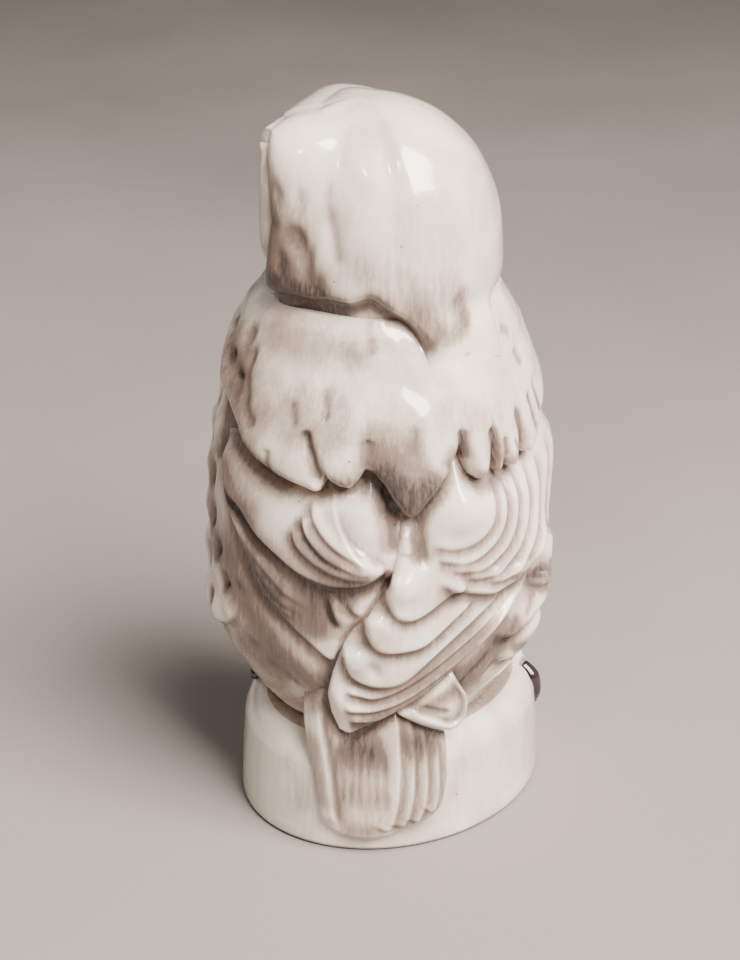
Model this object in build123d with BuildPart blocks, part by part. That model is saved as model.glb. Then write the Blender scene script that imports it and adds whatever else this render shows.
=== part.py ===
"""Owl figurine: a glazed, hollow-cast owl on a low oval plinth, its head turned over its left shoulder.

The owl's breast faces -Y and its left side is +X. The origin is on the ground, at the middle of the bounding box.
"""
from build123d import *
import os

os.makedirs("parts", exist_ok=True)

# Driving dimensions, in millimetres.
WALL = 3.0
TOP_Z = 106.0

# Plinth: an oval drum whose long axis is turned from +X.
PLINTH_HEIGHT = 16.5
PLINTH_LONG = 24.6
PLINTH_SHORT = 21.0
PLINTH_TURN = 60
PLINTH_CENTRE = (-1.6, -1.1)
PLINTH_TAPER = 2.5
PLINTH_SHOULDER = 4.5
FOOT_EDGE = 0.5
FOOT_RING_WIDTH = 3.0
FOOT_RECESS = 0.6
VENT_RADIUS = 3.5
NECK_RADIUS = 8.0

# Level ellipses: height, centre x, centre y, half width along X, half depth along Y.
TRUNK_LEVELS = [
    (PLINTH_HEIGHT, 0.2, 0.5, 16.3, 16.0),
    (23, 0.4, 0.6, 20.6, 18.6),
    (32, 0.6, 0.7, 24.2, 21.4),
    (44, 0.6, 0.7, 24.6, 22.0),
    (56, 0.4, 0.7, 23.9, 20.6),
    (66, 0.4, 0.6, 21.8, 18.4),
    (73, 0.2, 0.0, 19.8, 16.2),
    (79, -0.2, -0.3, 16.6, 14.2),
]
WING_LEVELS = [
    (15, 0.0, 0.7, 20.0, 23.0),
    (22, 0.0, 0.7, 22.0, 23.9),
    (32, 0.2, 0.7, 24.6, 24.3),
    (44, 0.2, 0.7, 25.4, 24.0),
    (56, 0.2, 0.7, 24.8, 22.2),
    (66, 0.2, 0.6, 22.6, 19.8),
]
MANTLE_LEVELS = [
    (50, 0.2, 0.7, 25.4, 23.6),
    (58, 0.2, 0.7, 25.2, 23.0),
    (66, 0.2, 0.6, 23.4, 20.6),
    (73, 0.1, -0.1, 21.0, 17.6),
    (79, -0.2, -0.3, 18.0, 15.2),
]
TAIL_LEVELS = [
    (1.5, -1.0, 0.0, 22.0, 24.2),
    (10, -1.0, 0.0, 22.0, 23.5),
    (18, -0.5, 0.4, 22.0, 22.4),
    (26, 0.0, 0.7, 23.0, 21.8),
    (36, 0.0, 0.7, 24.0, 21.2),
]
CROWN_LEVELS = [
    (79, 0.0, -0.3, 15.6, 14.2),
    (83, -0.3, -0.3, 16.5, 15.2),
    (88, -0.2, -0.3, 16.5, 15.6),
    (93, 0.2, -0.3, 16.0, 15.4),
    (99, 0.9, -0.3, 13.6, 13.3),
    (102.4, 1.6, -0.3, 10.6, 10.2),
    (105, 1.8, -0.3, 6.2, 5.9),
    (TOP_Z, 1.8, -0.3, 2.0, 2.0),
]

# Outlines seen from behind, as (x, z): hems and feather edges.
MANTLE_HEM = [
    (30, 70), (22, 66), (17, 61), (11, 58.3), (6, 57.5), (4.5, 59.2), (1, 58.3), (-0.5, 61), (-3, 58.8),
    (-6.7, 53.8), (-12.6, 61.5), (-15.5, 58), (-18, 60), (-20, 58), (-21, 62), (-22.3, 58.6), (-30, 62),
]
LEFT_WING_EDGE = [
    (20.8, 66), (20.6, 52), (19, 46), (16, 39), (11, 34.5), (4, 29), (-4, 23), (-9, 20), (-13, 17.6),
    (-14.6, 20), (-14, 26), (-8, 36), (-5, 50), (-4, 66),
]
RIGHT_WING_EDGE = [
    (-4.2, 66), (-5.2, 50), (-3.4, 43), (1, 35), (4, 32.5), (5.8, 26), (4.6, 19.4), (2.2, 19),
    (-4, 22.6), (-11.5, 28.6), (-18, 36), (-22.5, 41), (-30, 46), (-30, 66),
]
TAIL_EDGE = [
    (10.2, 34), (9, 19), (8.2, 14), (7.4, 9), (6, 3.8), (3.2, 2.6), (0, 2.4),
    (-4.8, 3.2), (-9.8, 5), (-11.6, 7), (-12.4, 12), (-12.4, 18), (-12.6, 34),
]
RIGHT_WING_FRONT_Y = -7.0
UNDER_WING_STEP = 0.8

# Head and face. The face points between +X and -Y.
FACE_TURN = 74
FACE_CENTRE_Z = 91.5
FACE_DEPTH = 10.9
DISC_THICKNESS = 1.4
DISC_HALF_WIDTH = 12.4
DISC_HALF_HEIGHT = 11.6
DISC_CORNER = 6.0
DISC_RAISE = 0.9
EYE_RADIUS = 3.3
EYE_SPREAD = 5.6
EYE_RAISE = 2.2
SOCKET_RADIUS = 4.6
BEAK_TOP = 1.5
BEAK_LENGTH = 6.5
BEAK_HALF_WIDTH = 1.6
BEAK_THICKNESS = 2.2

# Feet: each toe is an angle from straight ahead, its length, and how far its claw hooks down.
# The left foot's outer toe reaches further back, where its claw only rests on the plinth's shoulder.
LEG_PLACE = (10.5, -11.0)
LEG_HALF_WIDTH = 5.0
LEG_HALF_DEPTH = 4.6
LEG_TOP = 30
LEFT_TOES = [(4, 10.4, 5.6), (52, 10.6, 5.6), (146, 14.0, 1.8)]
RIGHT_TOES = [(4, 9.8, 5.6), (50, 10.4, 5.6), (111, 11.2, 5.6)]
TOE_WIDTH = 4.2
TOE_HEIGHT = 3.0
CLAW_RADIUS = 1.2
CLAW_START = 1.6
CLAW_REACH = 2.0


def form_through(levels):
    """A smooth solid through level ellipses."""
    with BuildPart() as form:
        for height, x, y, half_width, half_depth in levels:
            with BuildSketch(Plane((x, y, height))):
                Ellipse(half_width, half_depth)
        loft()
    return form.part


def hollow_through(levels, overshoot):
    """The cavity inside the same levels, one wall smaller, run past both ends so that it opens into its neighbours."""
    inner = [(z, x, y, width - WALL, depth - WALL) for z, x, y, width, depth in levels]
    first = inner[0]
    last = inner[-1]
    below = (first[0] - overshoot, *first[1:])
    above = (last[0] + overshoot, *last[1:])
    return form_through([below, *inner[1:-1], above])


def slab_behind(outline, front_y):
    """A tall slab with an outline drawn in X and Z, from front_y backwards."""
    with BuildPart() as slab:
        with BuildSketch(Plane((0, front_y, 0), x_dir=(1, 0, 0), z_dir=(0, -1, 0))):
            with BuildLine():
                Polyline(*outline, close=True)
            make_face()
        extrude(amount=-60)
    return slab.part


def oval(long_axis, short_axis, height):
    """A turned oval sketch at a height on the plinth's axis."""
    with BuildSketch(Plane((*PLINTH_CENTRE, height))) as sketch:
        Ellipse(long_axis, short_axis, rotation=PLINTH_TURN)
    return sketch.sketch


# Plinth: tapered oval drum, rounded shoulder, hollow inside, with a dry foot ring and a vent through its floor.
with BuildPart() as plinth_form:
    add(oval(PLINTH_LONG, PLINTH_SHORT, 0))
    extrude(amount=PLINTH_HEIGHT, taper=PLINTH_TAPER)
    fillet(plinth_form.edges().group_by(Axis.Z)[-1], PLINTH_SHOULDER)
    chamfer(plinth_form.edges().group_by(Axis.Z)[0], FOOT_EDGE)

with BuildPart() as plinth:
    add(plinth_form.part)
    add(oval(PLINTH_LONG - FOOT_RING_WIDTH, PLINTH_SHORT - FOOT_RING_WIDTH, 0))
    extrude(amount=FOOT_RECESS, mode=Mode.SUBTRACT)
    add(oval(PLINTH_LONG - WALL - 2, PLINTH_SHORT - WALL - 2, WALL + FOOT_RECESS))
    extrude(amount=PLINTH_HEIGHT - 2 * WALL - FOOT_RECESS, mode=Mode.SUBTRACT)
    with BuildSketch(Plane.XY):
        Circle(VENT_RADIUS)
    extrude(amount=2 * WALL, mode=Mode.SUBTRACT)
    with BuildSketch(Plane.XY.offset(PLINTH_HEIGHT - 2 * WALL)):
        Circle(NECK_RADIUS)
    extrude(amount=3 * WALL, mode=Mode.SUBTRACT)

# Trunk: the hollow cast body, open below into the plinth and above into the head.
trunk_form = form_through(TRUNK_LEVELS)
with BuildPart() as trunk:
    add(trunk_form)
    add(hollow_through(TRUNK_LEVELS, 1), mode=Mode.SUBTRACT)

# Tail: stepped feathers that fill the hollow of the back and run down the plinth's wall.
with BuildPart() as tail:
    add(form_through(TAIL_LEVELS))
    add(slab_behind(TAIL_EDGE, 8), mode=Mode.INTERSECT)
    add(trunk_form, mode=Mode.SUBTRACT)
    add(plinth_form.part, mode=Mode.SUBTRACT)

# Wings: two folded shells over the trunk. The right one lies over the left one's tip.
left_wing_levels = [
    (z, x, y, width - UNDER_WING_STEP, depth - UNDER_WING_STEP) for z, x, y, width, depth in WING_LEVELS
]
with BuildPart() as left_wing:
    add(form_through(left_wing_levels))
    add(slab_behind(LEFT_WING_EDGE, 4), mode=Mode.INTERSECT)
    add(trunk_form, mode=Mode.SUBTRACT)
    add(tail.part, mode=Mode.SUBTRACT)

with BuildPart() as right_wing:
    add(form_through(WING_LEVELS))
    add(slab_behind(RIGHT_WING_EDGE, RIGHT_WING_FRONT_Y), mode=Mode.INTERSECT)
    add(trunk_form, mode=Mode.SUBTRACT)
    add(tail.part, mode=Mode.SUBTRACT)
    add(left_wing.part, mode=Mode.SUBTRACT)

# Mantle: the cape of neck feathers, all round the shoulders, its jagged hem over both wings.
hem_outline = [*MANTLE_HEM, (-30, TRUNK_LEVELS[-1][0]), (30, TRUNK_LEVELS[-1][0])]
with BuildPart() as mantle:
    add(form_through(MANTLE_LEVELS))
    add(slab_behind(hem_outline, -30), mode=Mode.INTERSECT)
    add(trunk_form, mode=Mode.SUBTRACT)
    add(left_wing.part, mode=Mode.SUBTRACT)
    add(right_wing.part, mode=Mode.SUBTRACT)

# Head: a hollow crown joined to a short oval drum that carries the face.
face_out = Vector(0, -1, 0).rotate(Axis.Z, FACE_TURN)
face_side = Vector(1, 0, 0).rotate(Axis.Z, FACE_TURN)
neck = CROWN_LEVELS[0]
face_axis = Vector(neck[1], neck[2], FACE_CENTRE_Z)
face_plane = Plane(face_axis + face_out * FACE_DEPTH, x_dir=face_side, z_dir=face_out)
with BuildPart() as face_drum:
    with BuildSketch(face_plane):
        Ellipse(DISC_HALF_WIDTH, DISC_HALF_HEIGHT)
    extrude(amount=-FACE_DEPTH)

with BuildPart() as in_front_of_face:
    with BuildSketch(face_plane):
        Rectangle(80, 80)
    extrude(amount=40)

with BuildPart() as head:
    add(form_through(CROWN_LEVELS))
    add(in_front_of_face.part, mode=Mode.SUBTRACT)
    add(face_drum.part)
    hollow_levels = [level for level in CROWN_LEVELS if level[0] <= 99]
    cavity = hollow_through([(z, x - 2, y, width - 2, depth) for z, x, y, width, depth in hollow_levels], 1)
    add(cavity, mode=Mode.SUBTRACT)

# Face: a disc with two round sockets, an eye in each, and a beak between them.
socket_places = [(-EYE_SPREAD, EYE_RAISE), (EYE_SPREAD, EYE_RAISE)]
with BuildPart() as facial_disc:
    with BuildSketch(face_plane):
        with Locations((0, DISC_RAISE)):
            RectangleRounded(2 * DISC_HALF_WIDTH, 2 * DISC_HALF_HEIGHT, DISC_CORNER)
        with Locations(*socket_places):
            Circle(SOCKET_RADIUS, mode=Mode.SUBTRACT)
    extrude(amount=DISC_THICKNESS)

eyes = {}
for name, (across, up) in zip(("right_eye", "left_eye"), socket_places):
    with BuildPart() as eye:
        with BuildSketch(Plane(face_plane.from_local_coords((across, up, 0)), x_dir=face_side, z_dir=face_out)):
            Circle(EYE_RADIUS)
        extrude(amount=DISC_THICKNESS)
        fillet(eye.edges(), DISC_THICKNESS * 0.45)
    eyes[name] = eye.part

beak_plane = Plane(face_plane.from_local_coords((0, 0, DISC_THICKNESS)), x_dir=face_side, z_dir=face_out)
with BuildPart() as beak:
    with BuildSketch(beak_plane):
        with BuildLine():
            Polyline(
                (-BEAK_HALF_WIDTH, BEAK_TOP),
                (BEAK_HALF_WIDTH, BEAK_TOP),
                (0.3, BEAK_TOP - BEAK_LENGTH),
                (-0.3, BEAK_TOP - BEAK_LENGTH),
                close=True,
            )
        make_face()
    extrude(amount=BEAK_THICKNESS, taper=12)

# Feet: three toes on the plinth's top, each with a claw hooked over the plinth's edge, and a feathered leg above.
feet = {}
for side, sign, toes in (("left", 1, LEFT_TOES), ("right", -1, RIGHT_TOES)):
    root_x = sign * LEG_PLACE[0]
    root_y = LEG_PLACE[1]
    with BuildPart() as foot:
        for angle, length, _ in toes:
            ahead = Vector(0, -1, 0).rotate(Axis.Z, sign * angle)
            middle = Vector(root_x, root_y, PLINTH_HEIGHT) + ahead * (length / 2)
            with BuildSketch(Plane(middle, x_dir=ahead, z_dir=(0, 0, 1))):
                SlotOverall(length, TOE_WIDTH)
            extrude(amount=TOE_HEIGHT)
        add(trunk_form, mode=Mode.SUBTRACT)

    with BuildPart() as leg:
        with BuildSketch(Plane((root_x, root_y, PLINTH_HEIGHT))):
            Ellipse(LEG_HALF_WIDTH, LEG_HALF_DEPTH)
        extrude(amount=LEG_TOP - PLINTH_HEIGHT)
        add(trunk_form, mode=Mode.SUBTRACT)
        add(foot.part, mode=Mode.SUBTRACT)

    with BuildPart() as talons:
        for angle, length, drop in toes:
            ahead = Vector(0, -1, 0).rotate(Axis.Z, sign * angle)
            tip = Vector(root_x, root_y, PLINTH_HEIGHT + CLAW_START) + ahead * (length - 1)
            with BuildPart() as claw:
                with BuildSketch(Plane(tip, z_dir=ahead)):
                    Circle(CLAW_RADIUS)
                slope = ahead - Vector(0, 0, 1)
                bend = tip + ahead * CLAW_REACH - Vector(0, 0, drop * 0.35)
                with BuildSketch(Plane(bend, z_dir=slope)):
                    Circle(CLAW_RADIUS * 0.85)
                end = tip + ahead * (CLAW_REACH + 0.5) - Vector(0, 0, drop)
                with BuildSketch(Plane(end, z_dir=(0, 0, -1))):
                    Circle(CLAW_RADIUS * 0.2)
                loft()
            add(claw.part)
        add(foot.part, mode=Mode.SUBTRACT)
        add(trunk_form, mode=Mode.SUBTRACT)
        add(plinth_form.part, mode=Mode.SUBTRACT)

    feet[f"{side}_foot"] = foot.part
    feet[f"{side}_leg"] = leg.part
    feet[f"{side}_talons"] = talons.part

pieces = {
    "plinth": plinth.part,
    "trunk": trunk.part,
    "tail": tail.part,
    "left_wing": left_wing.part,
    "right_wing": right_wing.part,
    "mantle": mantle.part,
    "head": head.part,
    "facial_disc": facial_disc.part,
    "beak": beak.part,
    **eyes,
    **feet,
}
for name, piece in pieces.items():
    piece.label = name
    export_step(piece, f"parts/{name}.step")
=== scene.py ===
import math

import bmesh
import bpy
import numpy as np
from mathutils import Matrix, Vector


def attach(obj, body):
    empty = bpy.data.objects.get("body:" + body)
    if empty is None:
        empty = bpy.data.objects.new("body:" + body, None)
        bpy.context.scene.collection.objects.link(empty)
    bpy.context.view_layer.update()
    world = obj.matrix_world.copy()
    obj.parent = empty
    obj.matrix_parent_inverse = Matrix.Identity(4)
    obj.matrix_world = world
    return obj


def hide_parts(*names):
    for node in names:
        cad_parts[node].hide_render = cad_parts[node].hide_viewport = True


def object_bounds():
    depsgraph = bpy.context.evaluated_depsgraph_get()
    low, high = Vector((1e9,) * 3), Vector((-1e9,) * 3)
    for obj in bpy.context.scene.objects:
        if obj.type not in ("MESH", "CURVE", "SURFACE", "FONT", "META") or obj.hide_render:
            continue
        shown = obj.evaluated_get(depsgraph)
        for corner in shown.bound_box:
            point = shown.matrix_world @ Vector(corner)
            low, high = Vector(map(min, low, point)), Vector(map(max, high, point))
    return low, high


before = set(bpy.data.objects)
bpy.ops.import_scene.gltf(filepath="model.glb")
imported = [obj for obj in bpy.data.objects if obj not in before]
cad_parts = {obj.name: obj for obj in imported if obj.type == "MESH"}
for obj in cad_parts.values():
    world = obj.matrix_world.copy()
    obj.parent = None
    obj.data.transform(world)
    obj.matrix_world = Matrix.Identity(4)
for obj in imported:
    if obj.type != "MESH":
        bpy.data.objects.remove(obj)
cad_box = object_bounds()

# ---------------------------------------------------------------------------
# Camera: it stands behind the owl and a little above it, about an arm's length away, and looks at the
# upper wings through a long lens.
MM = 0.001
camera_azimuth = math.radians(186)
camera_elevation = math.radians(26)
camera_distance = 400 * MM
camera_aim = Vector((1.4, -0.1, 48.5)) * MM
camera_back = Vector((
    math.sin(camera_azimuth) * math.cos(camera_elevation),
    -math.cos(camera_azimuth) * math.cos(camera_elevation),
    math.sin(camera_elevation),
))
camera_data = bpy.data.cameras.new("camera")
camera_data.lens = 104.25
camera_data.clip_start = 0.02
camera = bpy.data.objects.new("camera", camera_data)
camera.location = camera_aim + camera_back * camera_distance
camera.rotation_mode = "QUATERNION"
camera.rotation_quaternion = (-camera_back).to_track_quat("-Z", "Y")
bpy.context.scene.collection.objects.link(camera)
bpy.context.scene.camera = camera


# ---------------------------------------------------------------------------
# Trunk: the hollow cast body that everything else is luted to. It carries the breast, flank and belly
# feathers: rows of soft scallops, modelled by hand, with small dark hollows between them.
# Millimetres round the body for each degree, at its widest.
ROUND = 0.42


class Sheet:
    """Clay being modelled: points on a form, how far each is raised, and how much stain and painted shade is
    on it.

    A place on it is (degrees round from the spine, height in mm). A size is in mm on the unrolled surface.
    """

    def __init__(self, angle, height, edges):
        self.across = angle * ROUND
        self.up = height
        self.edges = edges
        self.lift = np.zeros(len(angle))
        self.stain_and_shade = np.zeros(len(angle))

    def near(self, path, reach):
        """The points within reach of a path: which they are, how far off, on which side, how far along.

        The side is 1 on the left of the path and -1 on its right, and the path runs from 0 to 1.
        """
        path = smooth_path(path) * (ROUND, 1)
        low = path.min(0) - reach
        high = path.max(0) + reach
        inside = (self.across > low[0]) & (self.across < high[0]) & (self.up > low[1]) & (self.up < high[1])
        which = np.nonzero(inside)[0]
        across = self.across[which]
        up = self.up[which]
        distance = np.full(len(which), 1e9)
        side = np.zeros(len(which))
        along = np.zeros(len(which))
        for step, (start, run) in enumerate(zip(path[:-1], path[1:] - path[:-1])):
            away_across = across - start[0]
            away_up = up - start[1]
            share = np.clip((away_across * run[0] + away_up * run[1]) / max(run @ run, 1e-9), 0, 1)
            gap = np.hypot(away_across - share * run[0], away_up - share * run[1])
            nearer = gap < distance
            distance = np.where(nearer, gap, distance)
            side = np.where(nearer, np.sign(run[0] * away_up - run[1] * away_across), side)
            along = np.where(nearer, (step + share) / (len(path) - 1), along)
        close = distance < reach
        return which[close], distance[close], side[close], along[close]

    def groove(self, path, width, depth, stain_and_shade=0.6, fade=0.25):
        """A line pressed in with a rounded tool; it fades at both ends and holds stain."""
        which, distance, _, along = self.near(path, width * 3)
        ends = tapered(along, fade)
        self.lift[which] -= depth * ends * np.exp(-(distance / width) ** 2)
        self.stain_and_shade[which] += stain_and_shade * ends * np.exp(-(distance / (width * 0.8)) ** 2)

    def ridge(self, path, width, height, fade=0.25):
        """A raised rounded line."""
        which, distance, _, along = self.near(path, width * 3)
        self.lift[which] += height * tapered(along, fade) * np.exp(-(distance / width) ** 2)

    def ledge(self, path, height, reach, stain_and_shade=0.7, lip=0.35, fade=0.2):
        """A feather's edge: the clay to the left of the path stands above the clay to its right."""
        which, distance, side, along = self.near(path, reach * 2.5)
        signed = distance * side
        ends = tapered(along, fade)
        edge = smooth_step(-lip, lip, signed)
        self.lift[which] += height * ends * edge * np.exp(-np.maximum(signed - lip, 0) ** 2 / reach ** 2)
        stain_width = np.where(signed > -lip, lip, 0.9)
        self.stain_and_shade[which] += stain_and_shade * ends * np.exp(-((signed + lip * 1.1) / stain_width) ** 2)

    def swell(self, place, size, height, turn=0.0):
        """A soft rounded bulge, or a hollow when height is negative."""
        across = self.across - place[0] * ROUND
        up = self.up - place[1]
        cosine = math.cos(math.radians(turn))
        sine = math.sin(math.radians(turn))
        along = (across * cosine + up * sine) / size[0]
        beside = (up * cosine - across * sine) / size[1]
        self.lift += height * np.exp(-(along ** 2 + beside ** 2))

    def smudge(self, path, width, amount, fade=0.2):
        """Stain brushed on softly along a path; in places it stands for painted shade."""
        which, distance, _, along = self.near(path, width * 2.6)
        self.stain_and_shade[which] += amount * tapered(along, fade) * np.exp(-(distance / width) ** 2)

    def uneven(self, waves, tall, amount):
        """Faint lumps left by the fingers: so many waves round the body, each so many mm tall."""
        turn = np.radians(self.across / ROUND)
        up = self.up * 2 * math.pi / tall
        first = np.sin(waves * turn + 1.7 * np.sin(0.6 * up))
        second = np.sin(0.9 * up + 1.3 * np.sin((waves - 3) * turn + 1))
        self.lift += amount * first * second

    def blurred(self, values, rounds):
        """Values evened out between neighbouring points, round after round."""
        count = np.bincount(self.edges.ravel(), minlength=len(values))
        for _ in range(rounds):
            total = np.bincount(self.edges[:, 0], values[self.edges[:, 1]], len(values))
            total += np.bincount(self.edges[:, 1], values[self.edges[:, 0]], len(values))
            values = (values + total) / (count + 1)
        return values

    def tuck_under(self, outline, depth, reach, stain_and_shade):
        """Presses the clay back under an overlying piece, and paints shade, with some stain, along that
        piece's edge.
        """
        outside = -signed_inside(self.across, self.up, np.array(outline, float) * (ROUND, 1))
        self.lift -= depth * np.exp(-(np.maximum(outside, 0) / reach) ** 2)
        self.stain_and_shade += stain_and_shade * np.exp(-(np.maximum(outside, 0) / 0.8) ** 2)
        self.stain_and_shade += stain_and_shade * 0.4 * np.exp(-(np.maximum(outside, 0) / (reach * 0.8)) ** 2)

    def wipe(self, rounds, scale, amount):
        """Stain is wiped off the high places, stays where the clay lies low, and spreads a bit."""
        hollow = self.blurred(self.lift, rounds) - self.lift
        self.stain_and_shade += amount * np.clip(hollow / scale, 0, 1)
        self.stain_and_shade -= amount * 0.6 * np.clip(-hollow / scale, 0, 1)
        self.stain_and_shade = 0.6 * self.stain_and_shade + 0.6 * self.blurred(self.stain_and_shade, 40)


def smooth_path(points):
    """A smooth line through a few points."""
    points = np.array(points, float)
    if len(points) == 2:
        return np.linspace(points[0], points[1], 5)
    first = 2 * points[0] - points[1]
    last = 2 * points[-1] - points[-2]
    points = np.vstack([first, points, last])
    steps = np.linspace(0, 1, 5, endpoint=False)[:, None]
    spans = []
    for a, b, c, d in zip(points, points[1:], points[2:], points[3:]):
        spans.append(
            b + 0.5 * steps * (c - a + steps * (2 * a - 5 * b + 4 * c - d + steps * (3 * (b - c) + d - a)))
        )
    return np.vstack([*spans, points[-2:-1]])


def smooth_step(low, high, values):
    """0 below low, 1 above high, smooth in between."""
    share = np.clip((values - low) / (high - low), 0, 1)
    return share * share * (3 - 2 * share)


def tapered(along, fade):
    """1 in the middle of a path, falling to 0 at its ends."""
    if fade <= 0:
        return np.ones(len(along))
    return smooth_step(0, fade, along) * smooth_step(0, fade, 1 - along)


def signed_inside(across, up, outline):
    """Distance to a closed outline, positive inside it."""
    outline = np.array(outline, float)
    here = np.stack([across, up], 1)
    start = outline
    run = np.roll(outline, -1, 0) - start
    distance = np.full(len(here), 1e9)
    crossings = np.zeros(len(here), bool)
    for a, r in zip(start, run):
        away = here - a
        share = np.clip(away @ r / (r @ r), 0, 1)
        gap = away - share[:, None] * r
        distance = np.minimum(distance, (gap ** 2).sum(1))
        b = a + r
        straddles = (a[1] > here[:, 1]) != (b[1] > here[:, 1])
        if r[1] != 0:
            crossings ^= straddles & (here[:, 0] < a[0] + r[0] * (here[:, 1] - a[1]) / r[1])
    return np.where(crossings, 1, -1) * np.sqrt(distance)


def level_at(levels, height):
    """Centre and half sizes of a form's level ellipse at each height, smoothly between the given levels."""
    table = np.array(levels, float)
    z = table[:, 0]
    height = np.clip(height, z[0], z[-1])
    span = np.clip(np.searchsorted(z, height) - 1, 0, len(z) - 2)
    share = (height - z[span]) / (z[span + 1] - z[span])
    found = []
    for column in range(1, table.shape[1]):
        values = table[:, column]
        slope = np.gradient(values, z)
        step = z[span + 1] - z[span]
        found.append(
            (2 * share ** 3 - 3 * share ** 2 + 1) * values[span]
            + (share ** 3 - 2 * share ** 2 + share) * step * slope[span]
            + (3 * share ** 2 - 2 * share ** 3) * values[span + 1]
            + (share ** 3 - share ** 2) * step * slope[span + 1]
        )
    return found


def oval_reach(across, ahead):
    """How far an oval reaches in a direction, given its two parts, each over the oval's half size."""
    return 1 / np.sqrt(across ** 2 + ahead ** 2)


def wrapped(levels, angle, height, lift):
    """Points on a form. The angle is in degrees from the back (+Y), positive towards the right wing (-X)."""
    x, y, half_width, half_depth = level_at(levels, height)
    turn = np.radians(angle)
    radius = oval_reach(np.sin(turn) / half_width, np.cos(turn) / half_depth) + lift
    return np.stack([x - radius * np.sin(turn), y + radius * np.cos(turn), height], 1)


def mesh_arrays(mesh):
    """A mesh's corners and edges as arrays."""
    places = np.zeros(len(mesh.vertices) * 3)
    mesh.vertices.foreach_get("co", places)
    edges = np.zeros(len(mesh.edges) * 2, int)
    mesh.edges.foreach_get("vertices", edges)
    return places.reshape(-1, 3), edges.reshape(-1, 2)


# Past this much stain and painted shade the glaze is as dark as it gets.
STAIN_AND_SHADE_LIMIT = 1.6


def finished(name, mesh, places, stain_and_shade, material, nodes):
    """Writes the modelled places, and the stain and painted shade, into the mesh, in metres, and sets the
    piece in the frame.
    """
    low = np.array(cad_box[0])
    high = np.array(cad_box[1])
    places = np.clip(places * MM, low, high)
    mesh.vertices.foreach_set("co", places.ravel())
    attribute = mesh.attributes.new("stain_and_shade", "FLOAT", "POINT")
    attribute.data.foreach_set("value", np.clip(stain_and_shade, 0, STAIN_AND_SHADE_LIMIT).astype(np.float32))
    mesh.polygons.foreach_set("use_smooth", np.ones(len(mesh.polygons), bool))
    mesh.materials.append(material)
    mesh.update()
    piece = bpy.data.objects.new(name, mesh)
    bpy.context.scene.collection.objects.link(piece)
    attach(piece, "root")
    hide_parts(*nodes)
    return piece


def ball_mesh(name, around, rings):
    """A closed ball, to be drawn out into a rounded form. Its corners keep their longitude and latitude."""
    ball = bmesh.new()
    bmesh.ops.create_grid(ball, x_segments=around, y_segments=rings, size=1)
    corners = {}
    for corner in ball.verts:
        column = round((corner.co.x + 1) / 2 * around)
        ring = round((corner.co.y + 1) / 2 * rings)
        corners[column, ring] = corner
        longitude = 2 * math.pi * column / around
        latitude = math.pi * (ring / rings - 0.5)
        corner.co = (
            math.cos(latitude) * math.cos(longitude),
            math.cos(latitude) * math.sin(longitude),
            math.sin(latitude),
        )
    seam = {}
    for column, ring in corners:
        kept = (0, ring) if ring in (0, rings) else (column % around, ring)
        if kept != (column, ring):
            seam[corners[column, ring]] = corners[kept]
    bmesh.ops.weld_verts(ball, targetmap=seam)
    mesh = bpy.data.meshes.new(name)
    ball.to_mesh(mesh)
    ball.free()
    return mesh


def round_and_up(places):
    """Each corner's degrees round a ball from its back, and its latitude: 0 at the foot, 1 at the top."""
    angle = np.degrees(np.arctan2(-places[:, 0], places[:, 1]))
    latitude = np.arcsin(np.clip(places[:, 2], -1, 1)) / math.pi + 0.5
    return angle, latitude


def slab_mesh(name, columns, rows):
    """A closed thin slab: two sheets of columns by rows, joined round the rim. z is 0 below and 1 on top."""
    slab = bmesh.new()
    bmesh.ops.create_grid(slab, x_segments=columns, y_segments=rows, size=1)
    raised = bmesh.ops.extrude_face_region(slab, geom=slab.faces[:])
    corners = [part for part in raised["geom"] if isinstance(part, bmesh.types.BMVert)]
    bmesh.ops.translate(slab, verts=corners, vec=(0, 0, 1))
    bmesh.ops.recalc_face_normals(slab, faces=slab.faces[:])
    mesh = bpy.data.meshes.new(name)
    slab.to_mesh(mesh)
    slab.free()
    return mesh


class Value:
    """A socket with arithmetic."""

    def __init__(self, tree, socket):
        self.tree = tree
        self.socket = socket

    def node(self, kind, settings=None, output=0, **inputs):
        """Adds a node. Settings are its own properties. Inputs are values or links, by name or number."""
        made = self.tree.nodes.new(kind)
        for name, value in (settings or {}).items():
            setattr(made, name, value)
        for name, value in inputs.items():
            socket = made.inputs[int(name[1:])] if name[0] == "_" else made.inputs[name.replace("_", " ")]
            if isinstance(value, Value):
                self.tree.links.new(value.socket, socket)
            else:
                socket.default_value = value
        return Value(self.tree, made.outputs[output])

    def maths(self, operation, other):
        return self.node("ShaderNodeMath", {"operation": operation}, _0=self, _1=other)

    def __add__(self, other):
        return self.maths("ADD", other)

    def __mul__(self, other):
        return self.maths("MULTIPLY", other)

    def __sub__(self, other):
        return self.maths("SUBTRACT", other)

    def __rsub__(self, other):
        return self.node("ShaderNodeMath", {"operation": "SUBTRACT"}, _0=other, _1=self)

    def between(self, low, high):
        """0 below low, 1 above high, smooth in between."""
        return self.node(
            "ShaderNodeMapRange", {"interpolation_type": "SMOOTHSTEP"},
            Value=self, From_Min=low, From_Max=high, To_Min=0.0, To_Max=1.0,
        )

    def mix(self, colour_a, colour_b):
        """colour_a where this value is 0, colour_b where it is 1."""
        colour_mix = {"data_type": "RGBA", "clamp_factor": True}
        return self.node("ShaderNodeMix", colour_mix, output=2, _0=self, _6=colour_a, _7=colour_b)


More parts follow.
